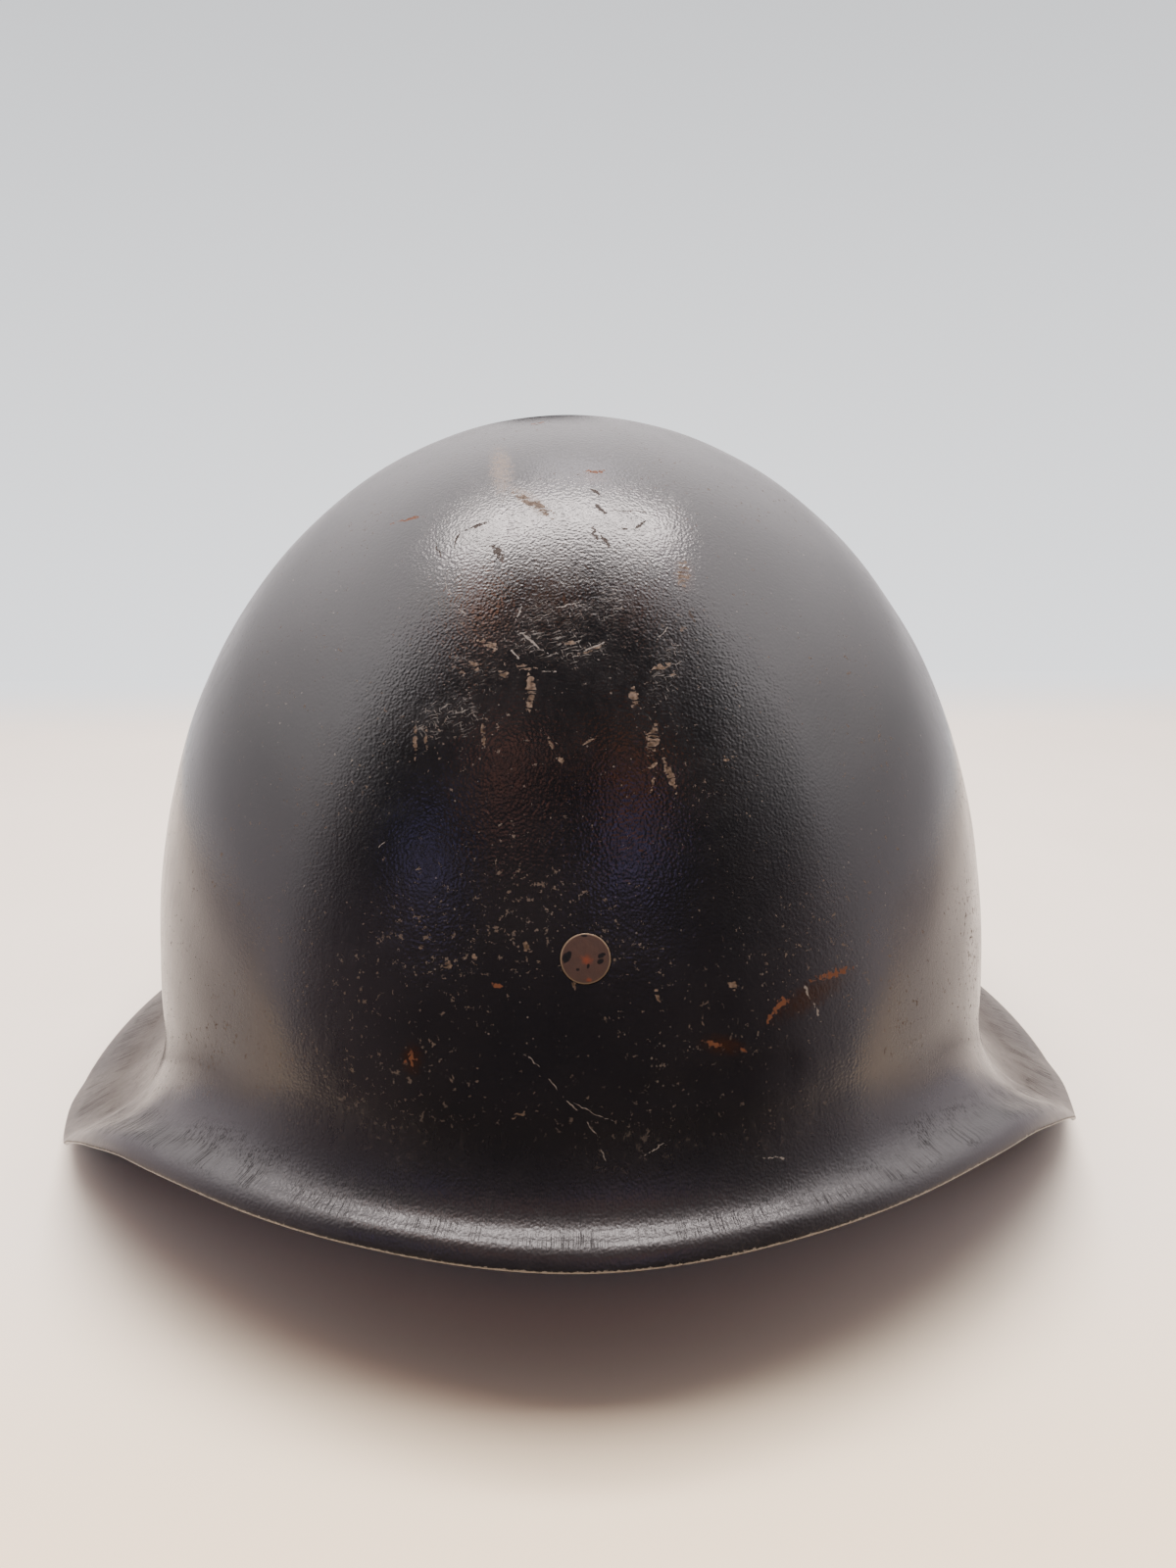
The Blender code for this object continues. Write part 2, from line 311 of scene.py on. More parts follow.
# %% [markdown]
# ## Dents and press wrinkles
# A real pressing isn't perfect. Where the high front lip drops to the side wings the metal has
# gathered in a few low wrinkles, a long shallow crease crosses the lower right of the front, and the
# large faces waver a little, which is why reflections on them have uneven edges. Each of these moves
# the surface along its normal by a fraction of a millimetre.

# %% Dents and wrinkles
CREASE_PIXELS = ((648, 1117), (701, 1112), (751, 1097), (804, 1084))
CREASE_DEPTH, CREASE_WIDTH = 0.22 * MM, 2.6 * MM
WRINKLE_AZIMUTHS = (52, 57.5, 63, 69)
WRINKLE_HEIGHTS = (0.30 * MM, -0.34 * MM, 0.42 * MM, -0.30 * MM)
WRINKLE_WIDTH = 2.2
WRINKLE_RUN, WRINKLE_REACH = 1.62, 0.24
WAVER = 0.10 * MM
CROWN_FADE, EDGE_FADE = 0.12, 0.08


def bell(offset, width):
    """A Gaussian bell of one unit height."""
    return np.exp(-(offset / width) ** 2)


def crease_field(flat):
    """A shallow valley along a polyline of the chart, by the distance to its nearest stretch."""
    corners = front_chart(on_helmet(np.array(CREASE_PIXELS, dtype=float)))[:, :2]
    nearest = np.full(flat.shape[:-1], 1.0)
    for start, end in zip(corners[:-1], corners[1:]):
        run = end - start
        share = np.clip(((flat[..., :2] - start) @ run) / (run @ run), 0.0, 1.0)
        off = flat[..., :2] - start - share[..., None] * run
        nearest = np.minimum(nearest, np.linalg.norm(off, axis=-1))
    return -CREASE_DEPTH * bell(nearest, CREASE_WIDTH)


def wrinkle_field(angle, run):
    """Low ridges across the cove at four azimuths on each side, strongest halfway out on the brim."""
    azimuth = np.abs((np.degrees(angle) + 180) % 360 - 180)
    ridges = sum(rise * bell(azimuth - at, WRINKLE_WIDTH)
                 for at, rise in zip(WRINKLE_AZIMUTHS, WRINKLE_HEIGHTS))
    return ridges * bell(run - WRINKLE_RUN, WRINKLE_REACH)


def waver_field(points):
    """Slow unevenness: three crossed sine waves of about 60 mm, 43 mm and 31 mm."""
    x, y, z = np.moveaxis(points, -1, 0)
    return WAVER * (np.sin(x / (9.5 * MM) + 1.3 + np.sin(z / (14 * MM))) * np.sin(z / (11 * MM) + 0.4)
                    + 0.6 * np.sin((x + y) / (6.8 * MM) + 2.1) * np.sin((z - x) / (8.2 * MM))
                    + 0.3 * np.sin((y - 2 * z) / (5.0 * MM) + 0.7))


def worn_surface(angle, run):
    """The press tool's face moved along its normal by the crease, the wrinkles and the waver."""
    points = pressed_surface(angle, run)
    normals = slope_normals(pressed_surface, angle, np.clip(run, SLOPE_STEP, 2 - SLOPE_STEP))
    near_crown = np.clip(run / CROWN_FADE, 0.0, 1.0)
    near_edge = np.clip((2 - run) / EDGE_FADE, 0.0, 1.0)
    move = crease_field(front_chart(points)) + wrinkle_field(angle, run) + waver_field(points) * near_crown
    return points + normals * (move * near_edge)[..., None]


# %% [markdown]
# ## The shell
# The pressing is one closed skin: the outer face, a rounded cut edge one sheet thick, and the inner
# face one sheet thickness further in. Its columns stand closer together at the front, where the
# helmet is seen best. The skin carries two numbers for the paint: how far each point lies from the
# cut edge, and whether it is on the inside.

# %% The skin of the shell
COLUMNS = 384
DOME_ROWS, BRIM_ROWS, EDGE_ROWS = 112, 36, 5
INNER_DOME_ROWS, INNER_BRIM_ROWS = 44, 18
FRONT_DENSITY = 0.36
BRIM_CROWDING = 0.45
FIRST_RUN = 0.004


def column_angles():
    """Even steps minus a sine, which packs the columns towards the front."""
    even = np.linspace(0, 2 * np.pi, COLUMNS, endpoint=False)
    return even - FRONT_DENSITY * np.sin(even)


def run_steps(dome_rows, brim_rows):
    """Runs of the rings: even steps over the dome, then steps that close up towards the brim's turn."""
    brim = np.linspace(0, 1, brim_rows + 1)[1:]
    dome = np.linspace(0, 1, dome_rows + 1)[1:]
    return np.concatenate([dome, 1 + brim * (1 + BRIM_CROWDING * (1 - brim))])


def skin_rings():
    """Rings of points from under the outer crown to the edge, round it, and up the inner face."""
    angle = column_angles()[None, :]
    outer_run = run_steps(DOME_ROWS, BRIM_ROWS)[:, None]
    inner_run = run_steps(INNER_DOME_ROWS, INNER_BRIM_ROWS)[::-1, None]
    edge_back = 0.5 * SHEET
    outer = worn_surface(angle, outer_run)
    outer_out = slope_normals(worn_surface, angle, np.clip(outer_run, FIRST_RUN, 2 - SLOPE_STEP))
    along = outer[-1] - outer[-2]
    along = along / np.linalg.norm(along, axis=-1, keepdims=True)
    outer[-1] -= along * edge_back * 0.5
    middle = outer[-1] - outer_out[-1] * edge_back
    bend = np.linspace(0, np.pi, EDGE_ROWS + 2)[1:-1, None, None]
    edge = middle + edge_back * (np.cos(bend) * outer_out[-1] + np.sin(bend) * along)
    inner_face = worn_surface(angle, inner_run)
    inner_out = slope_normals(worn_surface, angle, np.clip(inner_run, FIRST_RUN, 2 - SLOPE_STEP))
    inner = inner_face - SHEET * inner_out
    inner[0] -= along * edge_back * 0.5
    rings = np.concatenate([outer, edge, inner])
    rings[..., 2] = np.maximum(rings[..., 2], 0.0)
    return rings


def closed_skin(rings, crown_outer, crown_inner):
    """Quads between neighbouring rings, and a fan of triangles at each crown."""
    count, columns = rings.shape[:2]
    points = np.concatenate([rings.reshape(-1, 3), [crown_outer], [crown_inner]])
    first, last = len(points) - 2, len(points) - 1
    column = np.arange(columns)
    ahead = (column + 1) % columns
    ring = np.arange(count - 1)[:, None] * columns
    quads = np.stack([ring + column, ring + columns + column, ring + columns + ahead, ring + ahead], -1)
    bottom = (count - 1) * columns
    top_fan = np.stack([np.full(columns, first), column, ahead], -1)
    low_fan = np.stack([np.full(columns, last), bottom + ahead, bottom + column], -1)
    return points, quads.reshape(-1, 4).tolist() + top_fan.tolist() + low_fan.tolist()


def solid_object(name, points, faces):
    """A mesh object at the origin, smooth shaded, with its faces turned outwards."""
    mesh = bpy.data.meshes.new(name)
    mesh.from_pydata(points.tolist(), [], faces)
    shape = bmesh.new()
    shape.from_mesh(mesh)
    bmesh.ops.recalc_face_normals(shape, faces=shape.faces)
    shape.to_mesh(mesh)
    shape.free()
    mesh.shade_smooth()
    piece = bpy.data.objects.new(name, mesh)
    bpy.context.scene.collection.objects.link(piece)
    return piece


def store(piece, name, values):
    """Put one number or one vector per vertex into a named attribute."""
    kind, field = ("FLOAT_VECTOR", "vector") if values.ndim > 1 else ("FLOAT", "value")
    layer = piece.data.attributes.get(name) or piece.data.attributes.new(name, kind, "POINT")
    layer.data.foreach_set(field, values.astype(np.float32).ravel())


def distance_to_edge(rings):
    """Length along each column from the middle of the cut edge, with the two crown points last."""
    steps = np.linalg.norm(np.diff(rings, axis=0), axis=-1)
    along = np.concatenate([np.zeros((1, rings.shape[1])), np.cumsum(steps, axis=0)])
    distance = np.abs(along - along[DOME_ROWS + BRIM_ROWS + EDGE_ROWS // 2])
    return np.concatenate([distance.ravel(), [distance.max(), distance.max()]])


RINGS = skin_rings()
CROWN = np.array([0.0, FOOTPRINT_SHIFT, CROWN_HEIGHT])
shell = solid_object("shell_pressing", *closed_skin(RINGS, CROWN, CROWN - [0, 0, SHEET]))
inner_rings = np.arange(len(RINGS)) >= DOME_ROWS + BRIM_ROWS + EDGE_ROWS
store(shell, "edge_distance", distance_to_edge(RINGS))
store(shell, "inside", np.concatenate([np.repeat(inner_rings, COLUMNS), [False, True]]))
print(f"shell skin: {len(shell.data.polygons)} faces")

# %% [markdown]
# ## The rivet
# A flush rivet is turned bar: a countersunk head that fills a countersunk hole, a shank, and a head
# closed by a hammer on the inside. The hole is cut with a Boolean, because that is how a drill would
# make it. The rivet's face isn't flat. It was filed by hand, so it is very slightly domed, and a
# narrow groove of the cut metal shows round it. Its height on the wall is known, so the run that has
# this height is found first.

# %% Rivet place and sizes
RIVET_HEIGHT = 88.5 * MM
RIVET_FACE_RADIUS = 4.65 * MM
RIVET_SHANK_RADIUS = 2.3 * MM
CLOSING_HEAD_RADIUS = 5.2 * MM
CLOSING_HEAD_HEIGHT = 1.8 * MM
HEAD_TAPER = 0.5
CLEARANCE = 0.3 * MM
GROOVE = 0.14 * MM
FACE_DOME = 0.10 * MM
RIVET_SIDES = 96
SHARP_ANGLE = np.radians(50)
HALVINGS = 50


def front_run_at(height):
    """The run at which the front wall's centre line passes a height, by halving the interval."""
    low, high = 0.0, 1.0
    for _ in range(HALVINGS):
        middle = (low + high) / 2
        low, high = (middle, high) if pressed_surface(0.0, middle)[2] > height else (low, middle)
    return middle


RIVET_RUN = front_run_at(RIVET_HEIGHT)
RIVET_PLACE = Vector(worn_surface(0.0, np.array(RIVET_RUN)))
RIVET_INWARD = -Vector(slope_normals(pressed_surface, 0.0, RIVET_RUN))
RIVET_FRAME = Matrix.Translation(RIVET_PLACE) @ RIVET_INWARD.to_track_quat("Z", "Y").to_matrix().to_4x4()
print("rivet at", np.round(RIVET_PLACE, 4), "facing", np.round(-RIVET_INWARD, 3))


# %% [markdown]
# The rivet, and the cutter for its hole, are both turned solids: a profile of radius and depth carried
# round one axis. A list of a few points is all that each of them needs.

# %% Turned solids along the rivet's axis
def turned(name, profile):
    """A profile of (radius, depth) points carried round the axis, closed with a point at each end."""
    profile = np.array(profile)
    turn = np.linspace(0, 2 * np.pi, RIVET_SIDES, endpoint=False)
    radius, depth = profile[:, 0, None], profile[:, 1, None]
    rings = np.stack([radius * np.cos(turn), radius * np.sin(turn), depth + 0 * turn], -1)
    place = np.array(RIVET_FRAME)
    rings = rings @ place[:3, :3].T + place[:3, 3]
    ends = [np.array([0, 0, z]) @ place[:3, :3].T + place[:3, 3] for z in (profile[0, 1], profile[-1, 1])]
    return solid_object(name, *closed_skin(rings, ends[0], ends[1]))


def rivet_profile():
    """Dome of the filed face, its broken edge, the taper of the head, the shank and the closing head."""
    shares = np.linspace(0.08, 0.965, 12)
    face = [(RIVET_FACE_RADIUS * share, 0.05 * MM - FACE_DOME * (1 - share ** 2)) for share in shares]
    broken = [(RIVET_FACE_RADIUS * 0.99, 0.075 * MM), (RIVET_FACE_RADIUS, 0.16 * MM)]
    seat = SHEET + CLEARANCE + CLOSING_HEAD_RADIUS ** 2 / (2 * DOME_HALF_WIDTH)
    neck = [(RIVET_FACE_RADIUS - HEAD_TAPER * SHEET, SHEET), (RIVET_SHANK_RADIUS, SHEET),
            (RIVET_SHANK_RADIUS, seat)]
    bulge = np.linspace(0, np.pi / 2, 9)[:-1]
    closing = [(CLOSING_HEAD_RADIUS * np.cos(turn) ** 0.7,
                seat + CLOSING_HEAD_HEIGHT * (0.25 + 0.75 * np.sin(turn))) for turn in bulge]
    rim = [(CLOSING_HEAD_RADIUS - 0.1 * MM, seat), (CLOSING_HEAD_RADIUS, seat + 0.1 * MM)]
    return face + broken + neck + rim + closing


rivet = turned("rivet_turned", rivet_profile())
rivet.data.set_sharp_from_angle(angle=SHARP_ANGLE)
print(f"rivet: {len(rivet.data.polygons)} faces")

# %% [markdown]
# The cutter has the form of the rivet's head, a groove's width larger all round. A Boolean takes it
# away from the wall. The skin is one closed body, which is what the Manifold solver is made for, and
# it leaves the fine quads of the wall as they are.

# %% The rivet's hole
hole_radius = RIVET_FACE_RADIUS + GROOVE
hole_foot = (hole_radius - HEAD_TAPER * 2 * SHEET, 2.4 * SHEET)
cutter = turned("hole_cutter", [(hole_radius, -SHEET), (hole_radius, 0.4 * MM), hole_foot])
cut = shell.modifiers.new("rivet_hole", "BOOLEAN")
cut.operation, cut.solver, cut.object = "DIFFERENCE", "MANIFOLD", cutter
drilled = bpy.data.meshes.new_from_object(shell.evaluated_get(bpy.context.evaluated_depsgraph_get()))
shell.modifiers.clear()
shell.data = drilled
bpy.data.objects.remove(cutter, do_unlink=True)
shell.data.set_sharp_from_angle(angle=SHARP_ANGLE)
print(f"drilled shell: {len(shell.data.polygons)} faces")

# %% [markdown]
# ## Numbers that the finishes read
# The paint has to know three things at each point: its place on the front chart, its distance from
# the cut edge, where the paint is rubbed away, and whether it is inside. The last two were stored
# before the hole was drilled, so the points of the hole's rim get theirs here. The rivet's face gets
# its own small chart, in radii of the face.

# %% Attributes of the drilled shell
def read_points(piece):
    """All vertex places of a piece as one array."""
    flat = np.empty(len(piece.data.vertices) * 3)
    piece.data.vertices.foreach_get("co", flat)
    return flat.reshape(-1, 3)


def read_numbers(piece, name):
    """The values of a stored number attribute."""
    values = np.empty(len(piece.data.vertices))
    piece.data.attributes[name].data.foreach_get("value", values)
    return values


shell_points = read_points(shell)
from_rivet = shell_points - np.array(RIVET_PLACE)
depth_at_rivet = from_rivet @ np.array(RIVET_INWARD)
round_rivet = (np.linalg.norm(from_rivet, axis=-1) < 2 * RIVET_FACE_RADIUS) & (depth_at_rivet < 4 * SHEET)
to_edge = np.where(round_rivet, CROWN_HEIGHT, read_numbers(shell, "edge_distance"))
inside = np.where(round_rivet, depth_at_rivet > SHEET * 0.9, read_numbers(shell, "inside"))
store(shell, "edge_distance", to_edge)
store(shell, "inside", inside)
store(shell, "front_chart", front_chart(shell_points))
on_face = (read_points(rivet) - np.array(RIVET_PLACE)) / RIVET_FACE_RADIUS
face_up = np.cross([1.0, 0.0, 0.0], np.array(RIVET_INWARD))
store(rivet, "face_place", np.stack([on_face[:, 0], on_face @ face_up, 0 * on_face[:, 0]], -1))
print(f"edge distance up to {to_edge.max():.3f}, {int(inside.sum())} points inside")

# %% [markdown]
# ## Helpers for the finishes
# Every finish is a tree of nodes. One function adds a node with its settings and its links, one lays
# tints over each other, and one turns the hex colours that a paint chart gives into the linear values
# that the shader works in.

# %% Colours and nodes
def linear(hex_colour):
    """sRGB hex to linear RGBA: values over 0.04045 go through ((c + 0.055) / 1.055) ** 2.4."""
    parts = np.array([int(hex_colour[i:i + 2], 16) for i in (1, 3, 5)]) / 255
    values = np.where(parts <= 0.04045, parts / 12.92, ((parts + 0.055) / 1.055) ** 2.4)
    return (*values.tolist(), 1.0)


def feed(tree, node, inputs):
    """Set a node's inputs: to a plain value, or by a link from an output or from a node's first output."""
    for name, value in inputs.items():
        if isinstance(value, bpy.types.Node):
            value = value.outputs[0]
        if isinstance(value, bpy.types.NodeSocket):
            tree.links.new(value, node.inputs[name])
        else:
            node.inputs[name].default_value = value


def add(tree, kind, inputs=None, **settings):
    """Add a shader node with its settings and feed its inputs."""
    node = tree.nodes.new("ShaderNode" + kind)
    for name, value in settings.items():
        setattr(node, name, value)
    feed(tree, node, inputs or {})
    return node


def new_material(name):
    """An empty material with a Principled shader linked to its output."""
    material = bpy.data.materials.new(name)
    material.use_nodes = True
    tree = material.node_tree
    tree.nodes.clear()
    shader = add(tree, "BsdfPrincipled")
    output = add(tree, "OutputMaterial", {"Surface": shader})
    return material, tree, shader, output


def layered(tree, colour, layers):
    """Lay tints over a colour one by one, each where its mask shows."""
    for mask, tint in layers:
        colour = add(tree, "Mix", {0: mask, 6: colour, 7: tint}, data_type="RGBA").outputs[2]
    return colour


print("mid grey #808080 in linear values:", np.round(linear("#808080")[:3], 4))

# %% [markdown]
# ## Wear marks
# Decades of handling left chips, rust and scratches. Scattering them by chance would give any old
# helmet, so the larger ones are charted one by one: each row holds the two ends of a mark and its
# width, in pixels of the 1200 x 1600 picture. A mark is an ellipse on the chart: the Mapping node
# moves its centre to zero and scales it to one, and a spherical gradient falls from 1 at the centre
# to 0 at its edge. A little noise bends all of them first, so no edge is a clean curve.

# %% Charted marks: x, y, x, y, width
BARE_CHIPS = (
    (519, 500, 572, 531, 17), (697, 575, 697, 596, 20), (526, 680, 545, 681, 11),
    (541, 688, 541, 726, 17), (510, 687, 517, 690, 10), (487, 652, 507, 662, 11), (480, 674, 490, 684, 11),
    (424, 732, 424, 778, 6), (435, 742, 435, 767, 5.5), (493, 732, 494, 767, 5.5), (461, 679, 477, 690, 6),
    (662, 686, 685, 676, 8), (646, 702, 648, 721, 15), (668, 738, 664, 769, 19), (677, 773, 690, 808, 11),
    (655, 788, 672, 776, 4.5), (663, 811, 669, 791, 4), (594, 761, 612, 749, 5), (559, 750, 565, 767, 6),
    (572, 774, 574, 778, 7), (738, 773, 744, 775, 6), (430, 966, 431, 968, 8), (484, 975, 486, 988, 8),
    (536, 962, 538, 968, 9), (452, 984, 460, 986, 10), (583, 998, 587, 1008, 6), (746, 1000, 750, 1008, 12),
    (669, 1011, 673, 1022, 7), (522, 1141, 536, 1135, 6), (683, 689, 694, 690, 6),
    (584, 669, 624, 656, 5), (574, 656, 588, 655, 6),
)
RUST_SPOTS = (
    (596, 482, 618, 481, 11), (394, 535, 438, 526, 6), (539, 434, 558, 430, 6), (419, 1070, 421, 1090, 8),
    (411, 1084, 428, 1078, 7), (718, 1063, 738, 1068, 9), (754, 1068, 762, 1073, 7),
    (783, 1044, 789, 1035, 8), (503, 1004, 514, 1009, 9), (786, 1038, 806, 1014, 12),
    (826, 1002, 872, 986, 12),
)
RUST_STAINS = ((784, 1042, 872, 988, 44), (697, 574, 698, 598, 34), (420, 1074, 421, 1088, 34),
               (720, 1064, 758, 1070, 30), (598, 486, 614, 488, 30))
PALE_STROKES = (
    (451, 584, 463, 614, 2.6), (463, 614, 478, 631, 2.6), (522, 640, 562, 669, 4), (534, 616, 524, 637, 3),
    (518, 661, 532, 674, 3.4), (546, 685, 571, 685, 2.6), (667, 656, 687, 632, 2.2), (585, 668, 624, 654, 4),
    (384, 867, 397, 855, 2.6), (819, 1005, 828, 1020, 4), (828, 1020, 838, 1041, 3.4),
    (560, 622, 598, 614, 3), (532, 1072, 556, 1095, 2.2), (556, 1095, 572, 1119, 2.2),
    (572, 1119, 595, 1139, 2.2), (595, 1139, 612, 1165, 2), (612, 1165, 619, 1195, 2),
    (572, 1119, 638, 1152, 1.8), (648, 1185, 690, 1158, 1.8), (764, 1180, 814, 1182, 2.2),
)
DARK_NICKS = (
    (470, 544, 503, 530, 5), (471, 534, 459, 571, 2.4), (444, 552, 451, 573, 3.6), (502, 557, 514, 571, 15),
    (603, 535, 611, 556, 6), (612, 545, 623, 560, 7), (602, 499, 615, 505, 9), (606, 513, 618, 525, 9),
    (648, 541, 659, 531, 5), (627, 540, 645, 540, 2.6), (611, 522, 681, 524, 2.6), (702, 623, 710, 635, 8),
)
SCUFFED_AREAS = (
    (548, 622, 612, 616, 84), (530, 655, 606, 662, 56), (466, 662, 496, 694, 56), (604, 588, 622, 640, 60),
    (672, 712, 690, 650, 44), (480, 730, 430, 740, 60),
)
RUBBED_AREAS = ((508, 456, 515, 506, 38), (520, 496, 560, 526, 26))
CHARTED = {"bare": BARE_CHIPS, "rust": RUST_SPOTS, "stain": RUST_STAINS, "pale": PALE_STROKES,
           "dark": DARK_NICKS, "scuffed": SCUFFED_AREAS, "rubbed": RUBBED_AREAS}
print("charted marks:", {name: len(strokes) for name, strokes in CHARTED.items()})


# %% [markdown]
# A mask is a value from 0 to 1 that says where a layer of the finish shows. The charted ellipses get
# ragged edges from grain, and fields of short scratches come from noise that is drawn out one way.

# %% Masks
def ellipse_mask(tree, place, ellipses):
    """The largest of the ellipses' gradients: 1 along a mark's middle, 0 outside it."""
    level = None
    for centre, half_length, half_width, turn in ellipses:
        frame_of_mark = {"Vector": place, "Location": tuple(centre), "Rotation": (0, 0, turn),
                         "Scale": (half_length, half_width, 1)}
        unit = add(tree, "Mapping", frame_of_mark, vector_type="TEXTURE")
        spot = add(tree, "TexGradient", {"Vector": unit}, gradient_type="SPHERICAL").outputs["Fac"]
        if level is not None:
            spot = add(tree, "Math", {0: level, 1: spot}, operation="MAXIMUM")
        level = spot
    return level


def ragged(tree, level, grain, amount, start, end):
    """A gradient roughened by grain and cut between two values, and zero where the gradient is zero."""
    rough = add(tree, "Math", {0: grain, 1: amount, 2: level}, operation="MULTIPLY_ADD")
    cut = add(tree, "MapRange", {"Value": rough, "From Min": start, "From Max": end},
              interpolation_type="SMOOTHSTEP")
    present = add(tree, "MapRange", {"Value": level, "From Min": 0.02, "From Max": 0.15})
    return add(tree, "Math", {0: cut, 1: present}, operation="MULTIPLY")


def strokes_of_noise(tree, place, turn, length, width, start, end):
    """Short strokes all one way: noise stretched along a direction of the chart and cut at a level."""
    stretch = {"Vector": place, "Rotation": (0, 0, np.radians(turn)), "Scale": (length, width, 1)}
    drawn = add(tree, "Mapping", stretch, vector_type="TEXTURE")
    level = add(tree, "TexNoise", {"Vector": drawn, "Scale": 1.0, "Detail": 1.5})
    return add(tree, "MapRange", {"Value": level, "From Min": start, "From Max": end})


# %% [markdown]
# ## Black stoving enamel
# Military shells of this kind were sprayed or dipped in black enamel and baked. New, it is a glossy
# dielectric with an index near 1.5. Old, it keeps its gloss but is pitted and dusty: the fine pits
# break the reflections up, so roughness is moderate and the bump is what gives the eye the age.
# The paint is built from its base outwards: cloudy black, specks, stains, scuffs, chips, dust and edge.

# %% Enamel colours and sizes
ENAMEL_BLACK = linear("#08090b")
ENAMEL_WORN = linear("#131213")
SPECK_TAN = linear("#3d312a")
SPECK_GREY = linear("#4a4541")
BARE_PRIMER = linear("#33281f")
BARE_GREY = linear("#574b42")
RUST = linear("#4f3122")
RUST_DARK = linear("#21140f")
STROKE_GREY = linear("#5f5b58")
NICK_DARK = linear("#2a2421")
RUBBED_TAN = linear("#6e6054")
CRACK_BLACK = linear("#0b0a0b")
WING_DUST = linear("#3c3530")
# grey for the lower side walls: partly dust, partly a painted reflection of the brim's wings
WALL_DUST_AND_SHEEN = linear("#262328")
EDGE_STEEL = linear("#5b5651")
ENAMEL_IOR = 1.47
PATCH_SIZE, CLOUD_SIZE = 26 * MM, 9 * MM
PEEL_SIZE, PEEL_HEIGHT = 1.1 * MM, 0.028
GRAIN_SIZE, GRAIN_HEIGHT = 0.55 * MM, 0.052
GRIT_SIZE = 0.8 * MM
BEND_SIZE, BEND_REACH = 1.8 * MM, 1.6 * MM
SPECK_SIZE = 1.25 * MM
DOT_SPACING = 1.2 * MM
CRACK_WIDTH, CRACK_LENGTH = 0.42 * MM, 1.1 * MM
BAND_INNER, BAND_OUTER = 19 * MM, 5.5 * MM
WIPE_WIDTH, WIPE_LENGTH = 1.6 * MM, 50 * MM
print(f"enamel reflects {((ENAMEL_IOR - 1) / (ENAMEL_IOR + 1)) ** 2:.3f} of light that falls straight on it")

# %% [markdown]
# Three kinds of small damage are too many to chart: pits down to the primer, pinholes with dust in
# them, and cracks across the lip. Each is a pattern that is cut at a level. They come in patches,
# because paint fails where damp stood on it, and every pattern is sized in real millimetres.

# %% Small damage
def specks(tree, place, patchy, low):
    """Irregular pits down to the primer: noise cut at a level that falls in patches and low on the wall."""
    blots = add(tree, "TexNoise", {"Vector": place, "Scale": 1 / SPECK_SIZE, "Detail": 3.0,
                                   "Roughness": 0.75})
    level = add(tree, "MapRange", {"Value": patchy, "From Min": 0.35, "From Max": 0.70, "To Min": 0.715,
                                   "To Max": 0.62})
    level = add(tree, "Math", {0: low, 1: -0.04, 2: level}, operation="MULTIPLY_ADD")
    over = add(tree, "Math", {0: blots, 1: level}, operation="SUBTRACT")
    return add(tree, "MapRange", {"Value": over, "From Min": 0.0, "From Max": 0.02})


def dots(tree, place, patchy):
    """Dust and pinholes: one dot in some cells of a Voronoi pattern, with a radius by the cell's chance."""
    cells = add(tree, "TexVoronoi", {"Vector": place, "Scale": 1 / DOT_SPACING, "Randomness": 1.0})
    chance = add(tree, "SeparateColor", {"Color": cells.outputs["Color"]})
    radius = add(tree, "Math", {0: chance.outputs[0], 1: patchy}, operation="MULTIPLY")
    radius = add(tree, "MapRange", {"Value": radius, "From Min": 0.18, "From Max": 0.60, "To Max": 0.22})
    ratio = add(tree, "Math", {0: radius, 1: cells.outputs["Distance"]}, operation="SUBTRACT")
    shown = add(tree, "MapRange", {"Value": ratio, "From Min": 0.0, "From Max": 0.05})
    return add(tree, "Math", {0: shown, 1: chance.outputs[1]}, operation="MULTIPLY")


def crackle(tree, chart, edge, patchy):
    """Fine cracks across the lip: the middle contour of noise drawn out towards the edge, in one band."""
    crack = {"Vector": chart, "Scale": (CRACK_WIDTH, CRACK_LENGTH, 1)}
    drawn = add(tree, "Mapping", crack, vector_type="TEXTURE")
    level = add(tree, "TexNoise", {"Vector": drawn, "Scale": 1.0, "Detail": 2.0})
    off = add(tree, "Math", {0: level, 1: 0.5}, operation="SUBTRACT")
    off = add(tree, "Math", {0: off}, operation="ABSOLUTE")
    line = add(tree, "MapRange", {"Value": off, "From Min": 0.04, "From Max": 0.01, "To Max": 0.7})
    inner = add(tree, "MapRange", {"Value": edge, "From Min": BAND_INNER, "From Max": BAND_INNER * 0.8})
    outer = add(tree, "MapRange", {"Value": edge, "From Min": BAND_OUTER * 0.6, "From Max": BAND_OUTER})
    band = add(tree, "Math", {0: inner, 1: outer}, operation="MULTIPLY")
    kept = add(tree, "MapRange", {"Value": patchy, "From Min": 0.40, "From Max": 0.55, "To Min": 0.25})
    band = add(tree, "Math", {0: band, 1: kept}, operation="MULTIPLY")
    return add(tree, "Math", {0: line, 1: band}, operation="MULTIPLY")


# %% [markdown]
# The layers share some values, which are made once: where a point is, how far it is from the edge,
# which way it faces, and noise in four sizes. The chart that the marks lie on is bent by small noise.

